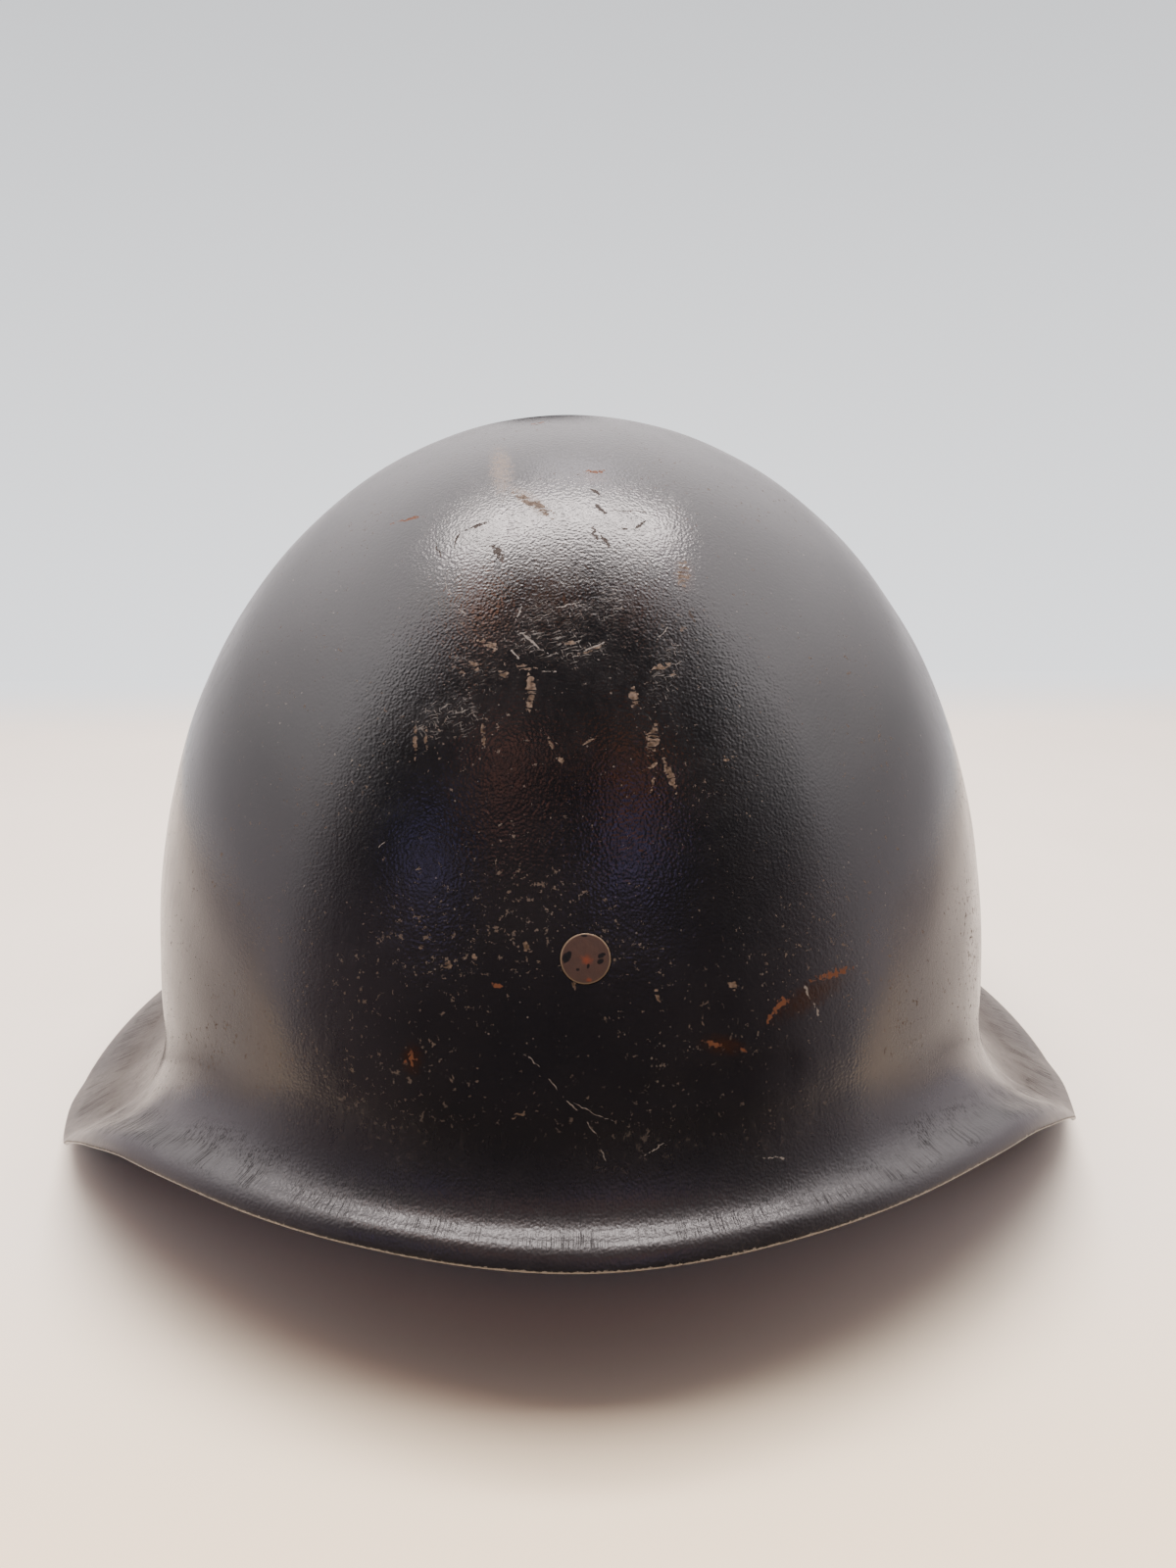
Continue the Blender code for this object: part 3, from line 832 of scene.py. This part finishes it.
# %% Values that the layers share
def shared_values(tree):
    """Place, stored numbers, facing and noise of a point, and its place on the bent chart."""
    at = SimpleNamespace()
    at.place = add(tree, "TexCoord").outputs["Object"]
    at.chart = add(tree, "Attribute", attribute_name="front_chart").outputs["Vector"]
    at.edge = add(tree, "Attribute", attribute_name="edge_distance").outputs["Fac"]
    inner = add(tree, "Attribute", attribute_name="inside").outputs["Fac"]
    at.outside = add(tree, "Math", {0: 1.0, 1: inner}, operation="SUBTRACT")
    at.height = add(tree, "SeparateXYZ", {0: at.place}).outputs["Z"]
    facing = add(tree, "SeparateXYZ", {0: add(tree, "NewGeometry").outputs["Normal"]})
    at.facing_up = facing.outputs["Z"]
    at.facing_side = add(tree, "Math", {0: facing.outputs["X"]}, operation="ABSOLUTE")
    at.patchy = add(tree, "TexNoise", {"Vector": at.place, "Scale": 1 / PATCH_SIZE, "Detail": 3.0})
    at.cloudy = add(tree, "TexNoise", {"Vector": at.place, "Scale": 1 / CLOUD_SIZE, "Detail": 3.0})
    at.grit = add(tree, "TexNoise", {"Vector": at.place, "Scale": 1 / GRIT_SIZE, "Detail": 3.0,
                                     "Roughness": 0.6})
    at.grain = add(tree, "Math", {0: at.grit, 1: 0.5}, operation="SUBTRACT")
    bend = add(tree, "TexNoise", {"Vector": at.place, "Scale": 1 / BEND_SIZE, "Detail": 2.0})
    bend = add(tree, "VectorMath", {0: bend.outputs["Color"], 1: (0.5, 0.5, 0.5)}, operation="SUBTRACT")
    bend = add(tree, "VectorMath", {0: bend, "Scale": BEND_REACH}, operation="SCALE")
    at.bent = add(tree, "VectorMath", {0: at.chart, 1: bend}, operation="ADD")
    return at


# %% [markdown]
# The charted marks are broken up, so that each looks like what made it. A chip is torn in short level
# rungs, a scuff is a cluster of slanting and upright scratches, and a rubbed place is only a film over
# the black.

# %% Masks of the charted marks
# Amount of grain at a mark's edge, and the two levels between which the mark begins to show
MARK_CUTS = {"bare": (1.7, 0.30, 0.42), "rust": (2.4, 0.34, 0.62), "stain": (1.0, 0.05, 0.95),
             "pale": (2.0, 0.40, 0.62), "dark": (2.2, 0.36, 0.56), "scuffed": (1.6, 0.10, 0.60),
             "rubbed": (0.9, 0.05, 0.90)}


def charted_masks(tree, at):
    """A mask for each kind of charted mark, on the outside only, three of them broken up by noise."""
    masks = {}
    for name, strokes in CHARTED.items():
        level = ellipse_mask(tree, at.bent, zip(*charted(strokes)))
        mask = ragged(tree, level, at.grain, *MARK_CUTS[name])
        masks[name] = add(tree, "Math", {0: mask, 1: at.outside}, operation="MULTIPLY")
    film = add(tree, "MapRange", {"Value": at.grit, "From Min": 0.35, "From Max": 0.65, "To Min": 0.2,
                                  "To Max": 0.6})
    rungs = strokes_of_noise(tree, at.bent, 4, 3.2 * MM, 0.7 * MM, 0.42, 0.49)
    slanting = strokes_of_noise(tree, at.bent, 15, 3.0 * MM, 0.38 * MM, 0.58, 0.70)
    upright = strokes_of_noise(tree, at.bent, -66, 2.2 * MM, 0.40 * MM, 0.63, 0.70)
    hatch = add(tree, "Math", {0: slanting, 1: upright}, operation="MAXIMUM")
    clustered = add(tree, "MapRange", {"Value": at.cloudy, "From Min": 0.40, "From Max": 0.60, "To Max": 0.9})
    hatch = add(tree, "Math", {0: hatch, 1: clustered}, operation="MULTIPLY")
    for name, share in (("rubbed", film), ("bare", rungs), ("scuffed", hatch)):
        masks[name] = add(tree, "Math", {0: masks[name], 1: share}, operation="MULTIPLY")
    return masks


# %% [markdown]
# Other marks lie over wide areas. Pits and pinholes spare the lip, which hands have kept smooth. Dust
# has settled where the wings face up, the lower side walls carry a thin grey layer, partly dust and partly
# a painted reflection of the wings, and the paint is worn off the very edge.

# %% Masks of wide areas
def wide_masks(tree, at):
    """Pits, pinholes, cracks, dust and painted sheen low on the sides, settled dust and the bare edge, each
    by height, facing or edge.
    """
    low = add(tree, "MapRange", {"Value": at.height, "From Min": 125 * MM, "From Max": 60 * MM})
    wall = add(tree, "MapRange", {"Value": at.edge, "From Min": 17 * MM, "From Max": 34 * MM, "To Min": 0.08})
    sides = add(tree, "MapRange", {"Value": at.facing_side, "From Min": 0.25, "From Max": 0.55,
                                   "To Min": 0.2})
    # grey layer on the side walls below 120 mm: partly dust, partly a painted reflection of the wings
    dust_and_sheen_height = add(tree, "MapRange", {"Value": at.height, "From Min": 120 * MM, "From Max": 80 * MM})
    lowest = add(tree, "MapRange", {"Value": at.height, "From Min": 48 * MM, "From Max": 14 * MM})
    lying = add(tree, "Math", {0: lowest, 1: at.facing_up}, operation="MULTIPLY", use_clamp=True)
    off_edge = add(tree, "MapRange", {"Value": at.edge, "From Min": 4 * MM, "From Max": 16 * MM,
                                      "To Min": 0.45})
    pairs = {"spots": (specks(tree, at.place, at.patchy, low), wall),
             "pinholes": (dots(tree, at.place, at.cloudy), wall),
             "cracks": (crackle(tree, at.chart, at.edge, at.cloudy), at.outside),
             "dust_and_sheen": (sides, dust_and_sheen_height),
             "settled": (lying, off_edge)}
    masks = {name: add(tree, "Math", dict(enumerate(pair)), operation="MULTIPLY")
             for name, pair in pairs.items()}
    bare_reach = add(tree, "Math", {0: at.grain, 1: 1.6 * MM, 2: 0.75 * MM}, operation="MULTIPLY_ADD")
    masks["bare_edge"] = add(tree, "Math", {0: at.edge, 1: bare_reach}, operation="LESS_THAN")
    return masks


# %% [markdown]
# The enamel's look comes from four things: the colour of its layers, a fine relief of orange peel and
# grain, the roughness, and how strongly it mirrors at all. Dust, grime and worn places take the gloss
# away, which is why the tent shows well on the crown and hardly at all low on the side walls.

# %% Colour, relief and gloss
def enamel_colour(tree, at, masks):
    """Cloudy black under the layers, from the inner ones outwards."""
    speck_tint = layered(tree, SPECK_TAN, [(at.cloudy, SPECK_GREY)])
    chip_tint = add(tree, "MapRange", {"Value": at.grit, "From Min": 0.41, "From Max": 0.62})
    chip_tint = layered(tree, BARE_PRIMER, [(chip_tint, BARE_GREY)])
    worn = add(tree, "MapRange", {"Value": at.patchy, "From Min": 0.35, "From Max": 0.70})
    tints = {"dust_and_sheen": WALL_DUST_AND_SHEEN, "pinholes": SPECK_GREY, "spots": speck_tint, "settled": WING_DUST,
             "stain": RUST_DARK, "rubbed": RUBBED_TAN, "dark": NICK_DARK, "scuffed": STROKE_GREY,
             "bare": chip_tint, "rust": RUST, "pale": STROKE_GREY, "cracks": CRACK_BLACK,
             "bare_edge": EDGE_STEEL}
    layers = [(worn, ENAMEL_WORN)] + [(masks[name], tint) for name, tint in tints.items()]
    return layered(tree, ENAMEL_BLACK, layers)


def enamel_relief(tree, at):
    """Orange peel plus a finer grain, weaker where the wall faces the side and the tent's cloth."""
    peel = add(tree, "TexNoise", {"Vector": at.place, "Scale": 1 / PEEL_SIZE, "Detail": 1.0})
    fine = add(tree, "TexNoise", {"Vector": at.place, "Scale": 1 / GRAIN_SIZE, "Detail": 0.0})
    relief = add(tree, "Math", {0: fine, 1: GRAIN_HEIGHT}, operation="MULTIPLY")
    relief = add(tree, "Math", {0: peel, 1: PEEL_HEIGHT, 2: relief}, operation="MULTIPLY_ADD")
    pitted = add(tree, "MapRange", {"Value": at.facing_side, "From Min": 0.55, "From Max": 0.20,
                                    "To Min": 0.30})
    relief = add(tree, "Math", {0: relief, 1: pitted}, operation="MULTIPLY")
    return add(tree, "Bump", {"Height": relief, "Distance": MM, "Strength": 1.0})


def enamel_roughness(tree, at, masks, matt):
    """Clouds of slightly different gloss, more on the lip, upright wipe marks, dust and matt wear."""
    roughness = add(tree, "MapRange", {"Value": at.cloudy, "From Min": 0.3, "From Max": 0.7, "To Min": 0.17,
                                       "To Max": 0.24})
    lip = add(tree, "MapRange", {"Value": at.edge, "From Min": 30 * MM, "From Max": 16 * MM, "To Max": 0.11})
    roughness = add(tree, "Math", {0: roughness, 1: lip}, operation="ADD")
    wiped = add(tree, "Mapping", {"Vector": at.place, "Scale": (WIPE_WIDTH, WIPE_WIDTH, WIPE_LENGTH)},
                vector_type="TEXTURE")
    wiped = add(tree, "TexNoise", {"Vector": wiped, "Scale": 1.0, "Detail": 2.0})
    roughness = add(tree, "Math", {0: wiped, 1: 0.16, 2: roughness}, operation="MULTIPLY_ADD")
    roughness = add(tree, "Math", {0: roughness, 1: 0.08}, operation="SUBTRACT")
    for mask, amount in ((masks["settled"], 0.25), (matt, 0.4)):
        roughness = add(tree, "Math", {0: mask, 1: amount, 2: roughness}, operation="MULTIPLY_ADD")
    return roughness


def enamel_gloss(tree, at, masks, matt):
    """Strength of the reflection: less on matt wear, on dust, and on grimy side walls near the brim."""
    grime = add(tree, "MapRange", {"Value": at.height, "From Min": 95 * MM, "From Max": 40 * MM})
    upright_wall = add(tree, "MapRange", {"Value": at.facing_up, "From Min": 0.60, "From Max": 0.35})
    sideways = add(tree, "MapRange", {"Value": at.facing_side, "From Min": 0.48, "From Max": 0.72})
    dulled = add(tree, "Math", {0: grime, 1: sideways}, operation="MULTIPLY")
    dulled = add(tree, "Math", {0: dulled, 1: upright_wall}, operation="MULTIPLY")
    dulled = add(tree, "MapRange", {"Value": dulled, "To Min": 1.0, "To Max": 0.02})
    dusty = add(tree, "Math", {0: masks["settled"], 1: -0.35, 2: 1.0}, operation="MULTIPLY_ADD")
    gloss = add(tree, "MapRange", {"Value": matt, "To Min": 0.5, "To Max": 0.12})
    for share in (dulled, dusty):
        gloss = add(tree, "Math", {0: gloss, 1: share}, operation="MULTIPLY")
    return gloss


def enamel():
    """Black enamel with its wear."""
    material, tree, shader, _ = new_material("aged_black_stoving_enamel")
    at = shared_values(tree)
    masks = charted_masks(tree, at) | wide_masks(tree, at)
    matt = masks["bare"]
    for name in ("rust", "pale", "dark", "scuffed", "rubbed", "spots", "cracks"):
        matt = add(tree, "Math", {0: matt, 1: masks[name]}, operation="MAXIMUM")
    feed(tree, shader, {"Base Color": enamel_colour(tree, at, masks),
                        "Normal": enamel_relief(tree, at),
                        "Roughness": enamel_roughness(tree, at, masks, matt),
                        "Specular IOR Level": enamel_gloss(tree, at, masks, matt),
                        "IOR": ENAMEL_IOR})
    print(f"enamel: {len(tree.nodes)} nodes")
    return material


shell.data.materials.clear()
shell.data.materials.append(enamel())

# %% [markdown]
# ## Tarnished brass
# The rivet is turned brass. Brass browns in air within a few years and loses its mirror, so the face
# is nearly as matt as paint. Only the ring where the file broke its edge still shines. Flakes of the
# black enamel lie in its low spots, and rust has crept in from the steel below it.

# %% Brass
BRASS_BROWN = linear("#3f2c26")
BRASS_DULL = linear("#302623")
BRASS_BRIGHT = linear("#625343")
BRASS_RUST = linear("#5a2c1c")
BRASS_METALLIC, BRASS_ROUGHNESS = 0.15, 0.5
BLOTCH_SCALE, BLOTCH_HEIGHT = 2.6, 0.08 * MM
# Centre, half length, half width and turn of the blots, in radii of the rivet's face
PAINT_FLAKES = (((-0.72, 0.06, 0), 0.34, 0.22, 1.3), ((0.66, 0.14, 0), 0.26, 0.12, 0.4),
                ((0.60, -0.12, 0), 0.17, 0.12, 0.2), ((-0.32, -0.42, 0), 0.10, 0.08, 0.0),
                ((0.10, -0.30, 0), 0.12, 0.07, 1.4), ((-0.05, 0.90, 0), 0.24, 0.08, 0.0))
RUST_CREEP = (((0.12, -0.84, 0), 0.22, 0.14, 0.2), ((0.05, 0.0, 0), 0.40, 0.34, 0.0))


def brass():
    """Brown oxidised brass, blotchy, with a bright ring, flakes of black paint and a rust spot."""
    material, tree, shader, _ = new_material("tarnished_brass")
    face = add(tree, "Attribute", attribute_name="face_place").outputs["Vector"]
    blotch = add(tree, "TexNoise", {"Vector": face, "Scale": BLOTCH_SCALE, "Detail": 3.0})
    grain = add(tree, "Math", {0: blotch, 1: 0.5}, operation="SUBTRACT")
    rust = ragged(tree, ellipse_mask(tree, face, RUST_CREEP), grain, 1.5, 0.2, 1.0)
    flakes = ragged(tree, ellipse_mask(tree, face, PAINT_FLAKES), grain, 2.0, 0.25, 0.40)
    radius = add(tree, "VectorMath", {0: face}, operation="LENGTH").outputs["Value"]
    ring = add(tree, "MapRange", {"Value": radius, "From Min": 0.93, "From Max": 0.97})
    layers = [(blotch, BRASS_BROWN), (rust, BRASS_RUST), (ring, BRASS_BRIGHT), (flakes, ENAMEL_BLACK)]
    feed(tree, shader, {"Base Color": layered(tree, BRASS_DULL, layers),
                        "Normal": add(tree, "Bump", {"Height": blotch, "Distance": BLOTCH_HEIGHT}),
                        "Metallic": BRASS_METALLIC, "Roughness": BRASS_ROUGHNESS})
    print(f"brass: {len(tree.nodes)} nodes")
    return material


rivet.data.materials.append(brass())

# %% [markdown]
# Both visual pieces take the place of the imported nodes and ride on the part's one body.

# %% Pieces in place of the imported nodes
for piece, node, slot in ((shell, "helmet_shell", "black_enamel"), (rivet, "front_rivet", "rivet_brass")):
    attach(piece, "root")
    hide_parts(node)
    print(piece.name, "replaces", node, "with", slot)

# %% [markdown]
# ## Floor
# The helmet stood on a pale card. Straight ahead of the camera the card runs on into white cloth, so
# the floor fades into lit cloth towards its far end. It is in two rectangles: the one in front of the
# tent isn't seen in reflections, because the room there is dark.

# %% Floor
FLOOR_FRONT_EDGE, FLOOR_FAR_EDGE = -0.20, 0.44
FLOOR_REACH = 8.0
FLOOR_LOW = linear("#e0d7cb")
FLOOR_HIGH = linear("#e9e1d6")
FLOOR_WARM = linear("#ead8bc")
FLOOR_ROUGHNESS = 0.8
MOTTLE_SIZE = 60 * MM
WARM_START, WARM_END = -0.08, -0.16
CLOTH_START = 0.30
CLOTH_WHITE = linear("#f9fbff")
CLOTH_LOW, CLOTH_HIGH = 1.9, 1.1


def floor_piece(name, near, far):
    """A level rectangle between two distances along Y."""
    corners = [(-FLOOR_REACH, near, 0), (FLOOR_REACH, near, 0),
               (FLOOR_REACH, far, 0), (-FLOOR_REACH, far, 0)]
    mesh = bpy.data.meshes.new(name)
    mesh.from_pydata(corners, [], [(0, 1, 2, 3)])
    piece = bpy.data.objects.new(name, mesh)
    bpy.context.scene.collection.objects.link(piece)
    return piece


def floor_card():
    """Matt card, nearly neutral round the helmet, warmer in front of it, that turns into lit cloth."""
    material, tree, shader, output = new_material("warm_white_card")
    place = add(tree, "TexCoord").outputs["Object"]
    along = add(tree, "SeparateXYZ", {0: place}).outputs["Y"]
    mottle = add(tree, "TexNoise", {"Vector": place, "Scale": 1 / MOTTLE_SIZE, "Detail": 4.0})
    warm = add(tree, "MapRange", {"Value": along, "From Min": WARM_START, "From Max": WARM_END})
    colour = layered(tree, FLOOR_LOW, [(mottle, FLOOR_HIGH), (warm, FLOOR_WARM)])
    feed(tree, shader, {"Base Color": colour, "Roughness": FLOOR_ROUGHNESS})
    cloth = add(tree, "Emission", {"Color": CLOTH_WHITE, "Strength": CLOTH_LOW})
    fade = add(tree, "MapRange", {"Value": along, "From Min": CLOTH_START, "From Max": FLOOR_FAR_EDGE},
               interpolation_type="SMOOTHSTEP")
    feed(tree, output, {"Surface": add(tree, "MixShader", {0: fade, 1: shader, 2: cloth})})
    return material


card = floor_card()
floor_back = floor_piece("floor_back", FLOOR_FRONT_EDGE, FLOOR_FAR_EDGE)
floor_front = floor_piece("floor_front", -FLOOR_REACH, FLOOR_FRONT_EDGE)
floor_front.visible_glossy = False
for piece in (floor_back, floor_front):
    piece.data.materials.append(card)
print("floor from", -FLOOR_REACH, "to", FLOOR_FAR_EDGE, "along Y")

# %% [markdown]
# ## Light
# The helmet stood in a white light tent: bright cloth left, right, behind and above, and the open
# front towards the camera, which is dark. A black glossy thing shows exactly that: grey sides, a dark
# middle, and the lamp over the tent as a soft highlight on the crown. The tent is a world whose
# brightness depends on direction. The camera itself sees plain cloth, and matt things get a smaller
# share of the tent's light, which leaves their light to the lamps and keeps the shadows.

# %% The tent
TENT_WHITE = linear("#fff7f8")
# For each metre ahead: how far to the left the opening's middle lies, and where cloth begins and is full
OPENING_SHIFT = 0.35
SIDE_CLOTH_START, SIDE_CLOTH_FULL = 1.1, 4.0
TOP_CLOTH_START, TOP_CLOTH_FULL = 8.5, 20.0
LEAST_AHEAD = 0.02
GLOW_LOW, GLOW_HIGH = 1.35, 4.6
MATT_SHARE = 0.4
ROOM_DARK = (0.048, 0.046, 0.052)
# Things in the dark room that glint in the enamel: azimuth, elevation and radius in degrees,
# then strength and colour
ROOM_GLINTS = (
    (-66, 68, 4, 6.0, "#ff9a50"), (-22, 78, 4, 2.5, "#ffa468"), (50, 71, 4, 2.0, "#ff9c60"),
    (16, 44, 6, 2.0, "#ff9854"), (-20, 45, 6, 2.1, "#ffa890"), (-39, 27, 6, 2.0, "#b2a8f4"),
    (14, 33, 6, 2.0, "#b2a8f4"),
)


def direction(azimuth, elevation):
    """Unit vector towards an azimuth counted from the front (-Y) to the +X side, and an elevation."""
    azimuth, elevation = np.radians([azimuth, elevation])
    level = np.cos(elevation)
    return np.sin(azimuth) * level, -np.cos(azimuth) * level, np.sin(elevation)


def cloth_share(tree, way):
    """Where cloth shows: the larger of two smooth steps, by x and by z over the distance ahead.

    In front, the opening reaches 55 degrees to the left and 37 degrees to the right before cloth begins.
    """
    ahead = add(tree, "Math", {0: way.outputs["Y"], 1: -1.0}, operation="MULTIPLY")
    ahead = add(tree, "Math", {0: ahead, 1: LEAST_AHEAD}, operation="MAXIMUM")
    across = add(tree, "Math", {0: way.outputs["X"], 1: ahead}, operation="DIVIDE")
    across = add(tree, "Math", {0: across, 1: OPENING_SHIFT}, operation="ADD")
    across = add(tree, "Math", {0: across}, operation="ABSOLUTE")
    above = add(tree, "Math", {0: way.outputs["Z"], 1: ahead}, operation="DIVIDE")
    sides = add(tree, "MapRange", {"Value": across, "From Min": SIDE_CLOTH_START,
                                   "From Max": SIDE_CLOTH_FULL}, interpolation_type="SMOOTHSTEP")
    top = add(tree, "MapRange", {"Value": above, "From Min": TOP_CLOTH_START, "From Max": TOP_CLOTH_FULL},
              interpolation_type="SMOOTHSTEP")
    return add(tree, "Math", {0: sides, 1: top}, operation="MAXIMUM")


def with_glints(tree, light, view):
    """Add the room's glints: each a soft spot between 1.3 and 0.5 times its radius from its direction."""
    for azimuth, elevation, radius, strength, colour in ROOM_GLINTS:
        towards = {0: view, 1: direction(azimuth, elevation)}
        near = add(tree, "VectorMath", towards, operation="DOT_PRODUCT").outputs["Value"]
        spot = add(tree, "MapRange", {"Value": near, "From Min": np.cos(np.radians(radius * 1.3)),
                                      "From Max": np.cos(np.radians(radius * 0.5)), "To Max": strength})
        glint = add(tree, "VectorMath", {0: linear(colour)[:3], "Scale": spot}, operation="SCALE")
        light = add(tree, "VectorMath", {0: light, 1: glint}, operation="ADD")
    return light


def tent_world():
    """Bright cloth on all sides but the dark front, brighter with height, and plain cloth to the camera."""
    world = bpy.data.worlds.new("light_tent")
    bpy.context.scene.world = world
    world.use_nodes = True
    tree = world.node_tree
    tree.nodes.clear()
    view = add(tree, "TexCoord").outputs["Generated"]
    way = add(tree, "SeparateXYZ", {0: view})
    path = add(tree, "LightPath")
    glow = add(tree, "MapRange", {"Value": way.outputs["Z"], "From Min": 0.10, "From Max": 0.85,
                                  "To Min": GLOW_LOW, "To Max": GLOW_HIGH}, interpolation_type="SMOOTHSTEP")
    share = add(tree, "MapRange", {"Value": path.outputs["Is Diffuse Ray"], "To Min": 1.0,
                                   "To Max": MATT_SHARE})
    level = add(tree, "Math", {0: cloth_share(tree, way), 1: glow}, operation="MULTIPLY")
    level = add(tree, "Math", {0: level, 1: share}, operation="MULTIPLY")
    light = add(tree, "VectorMath", {0: TENT_WHITE[:3], "Scale": level}, operation="SCALE")
    light = add(tree, "VectorMath", {0: light, 1: ROOM_DARK}, operation="ADD")
    light = with_glints(tree, light, view)
    behind = add(tree, "MapRange", {"Value": way.outputs["Z"], "From Min": -0.26, "From Max": 0.26,
                                    "To Min": CLOTH_LOW, "To Max": CLOTH_HIGH})
    plain = add(tree, "VectorMath", {0: CLOTH_WHITE[:3], "Scale": behind}, operation="SCALE")
    colour = layered(tree, light, [(path.outputs["Is Camera Ray"], plain)])
    add(tree, "OutputWorld", {"Surface": add(tree, "Background", {"Color": colour})})
    print(f"tent: {len(tree.nodes)} nodes")


tent_world()

# %% [markdown]
# Three lamps add what the cloth alone doesn't give: the long lamp over the tent, whose reflection is
# the highlight on the crown, a small one further back, and the glow of the cloth above the front,
# which lights the floor and isn't seen in reflections.

# %% Lamps
# Name, place, the point that it faces, size, power, colour and whether reflections show it
LAMPS = (
    ("tent_top_lamp", (-0.02, 0.057, 0.75), (-0.02, 0.056, 0.1), (0.56, 0.12), 7.2, "#fff3ef", True),
    ("tent_rear_lamp", (0.03, 0.28, 0.75), (0.03, 0.279, 0.1), (0.20, 0.12), 0.35, "#fff6ff", True),
    ("tent_cloth_glow", (0, -0.15, 1.1), (0, -0.149, 0), (0.8, 0.4), 19.0, "#fff6ec", False),
)
for name, place, aim, size, power, colour, reflected in LAMPS:
    data = bpy.data.lights.new(name, "AREA")
    data.shape, data.size, data.size_y = "RECTANGLE", *size
    data.energy = power
    data.color = linear(colour)[:3]
    lamp = bpy.data.objects.new(name, data)
    lamp.location = place
    lamp.rotation_euler = (Vector(aim) - Vector(place)).to_track_quat("-Z", "Y").to_euler()
    lamp.visible_glossy = reflected
    bpy.context.scene.collection.objects.link(lamp)
    print(f"{name}: {size[0]:.2f} x {size[1]:.2f} m, {power} W")
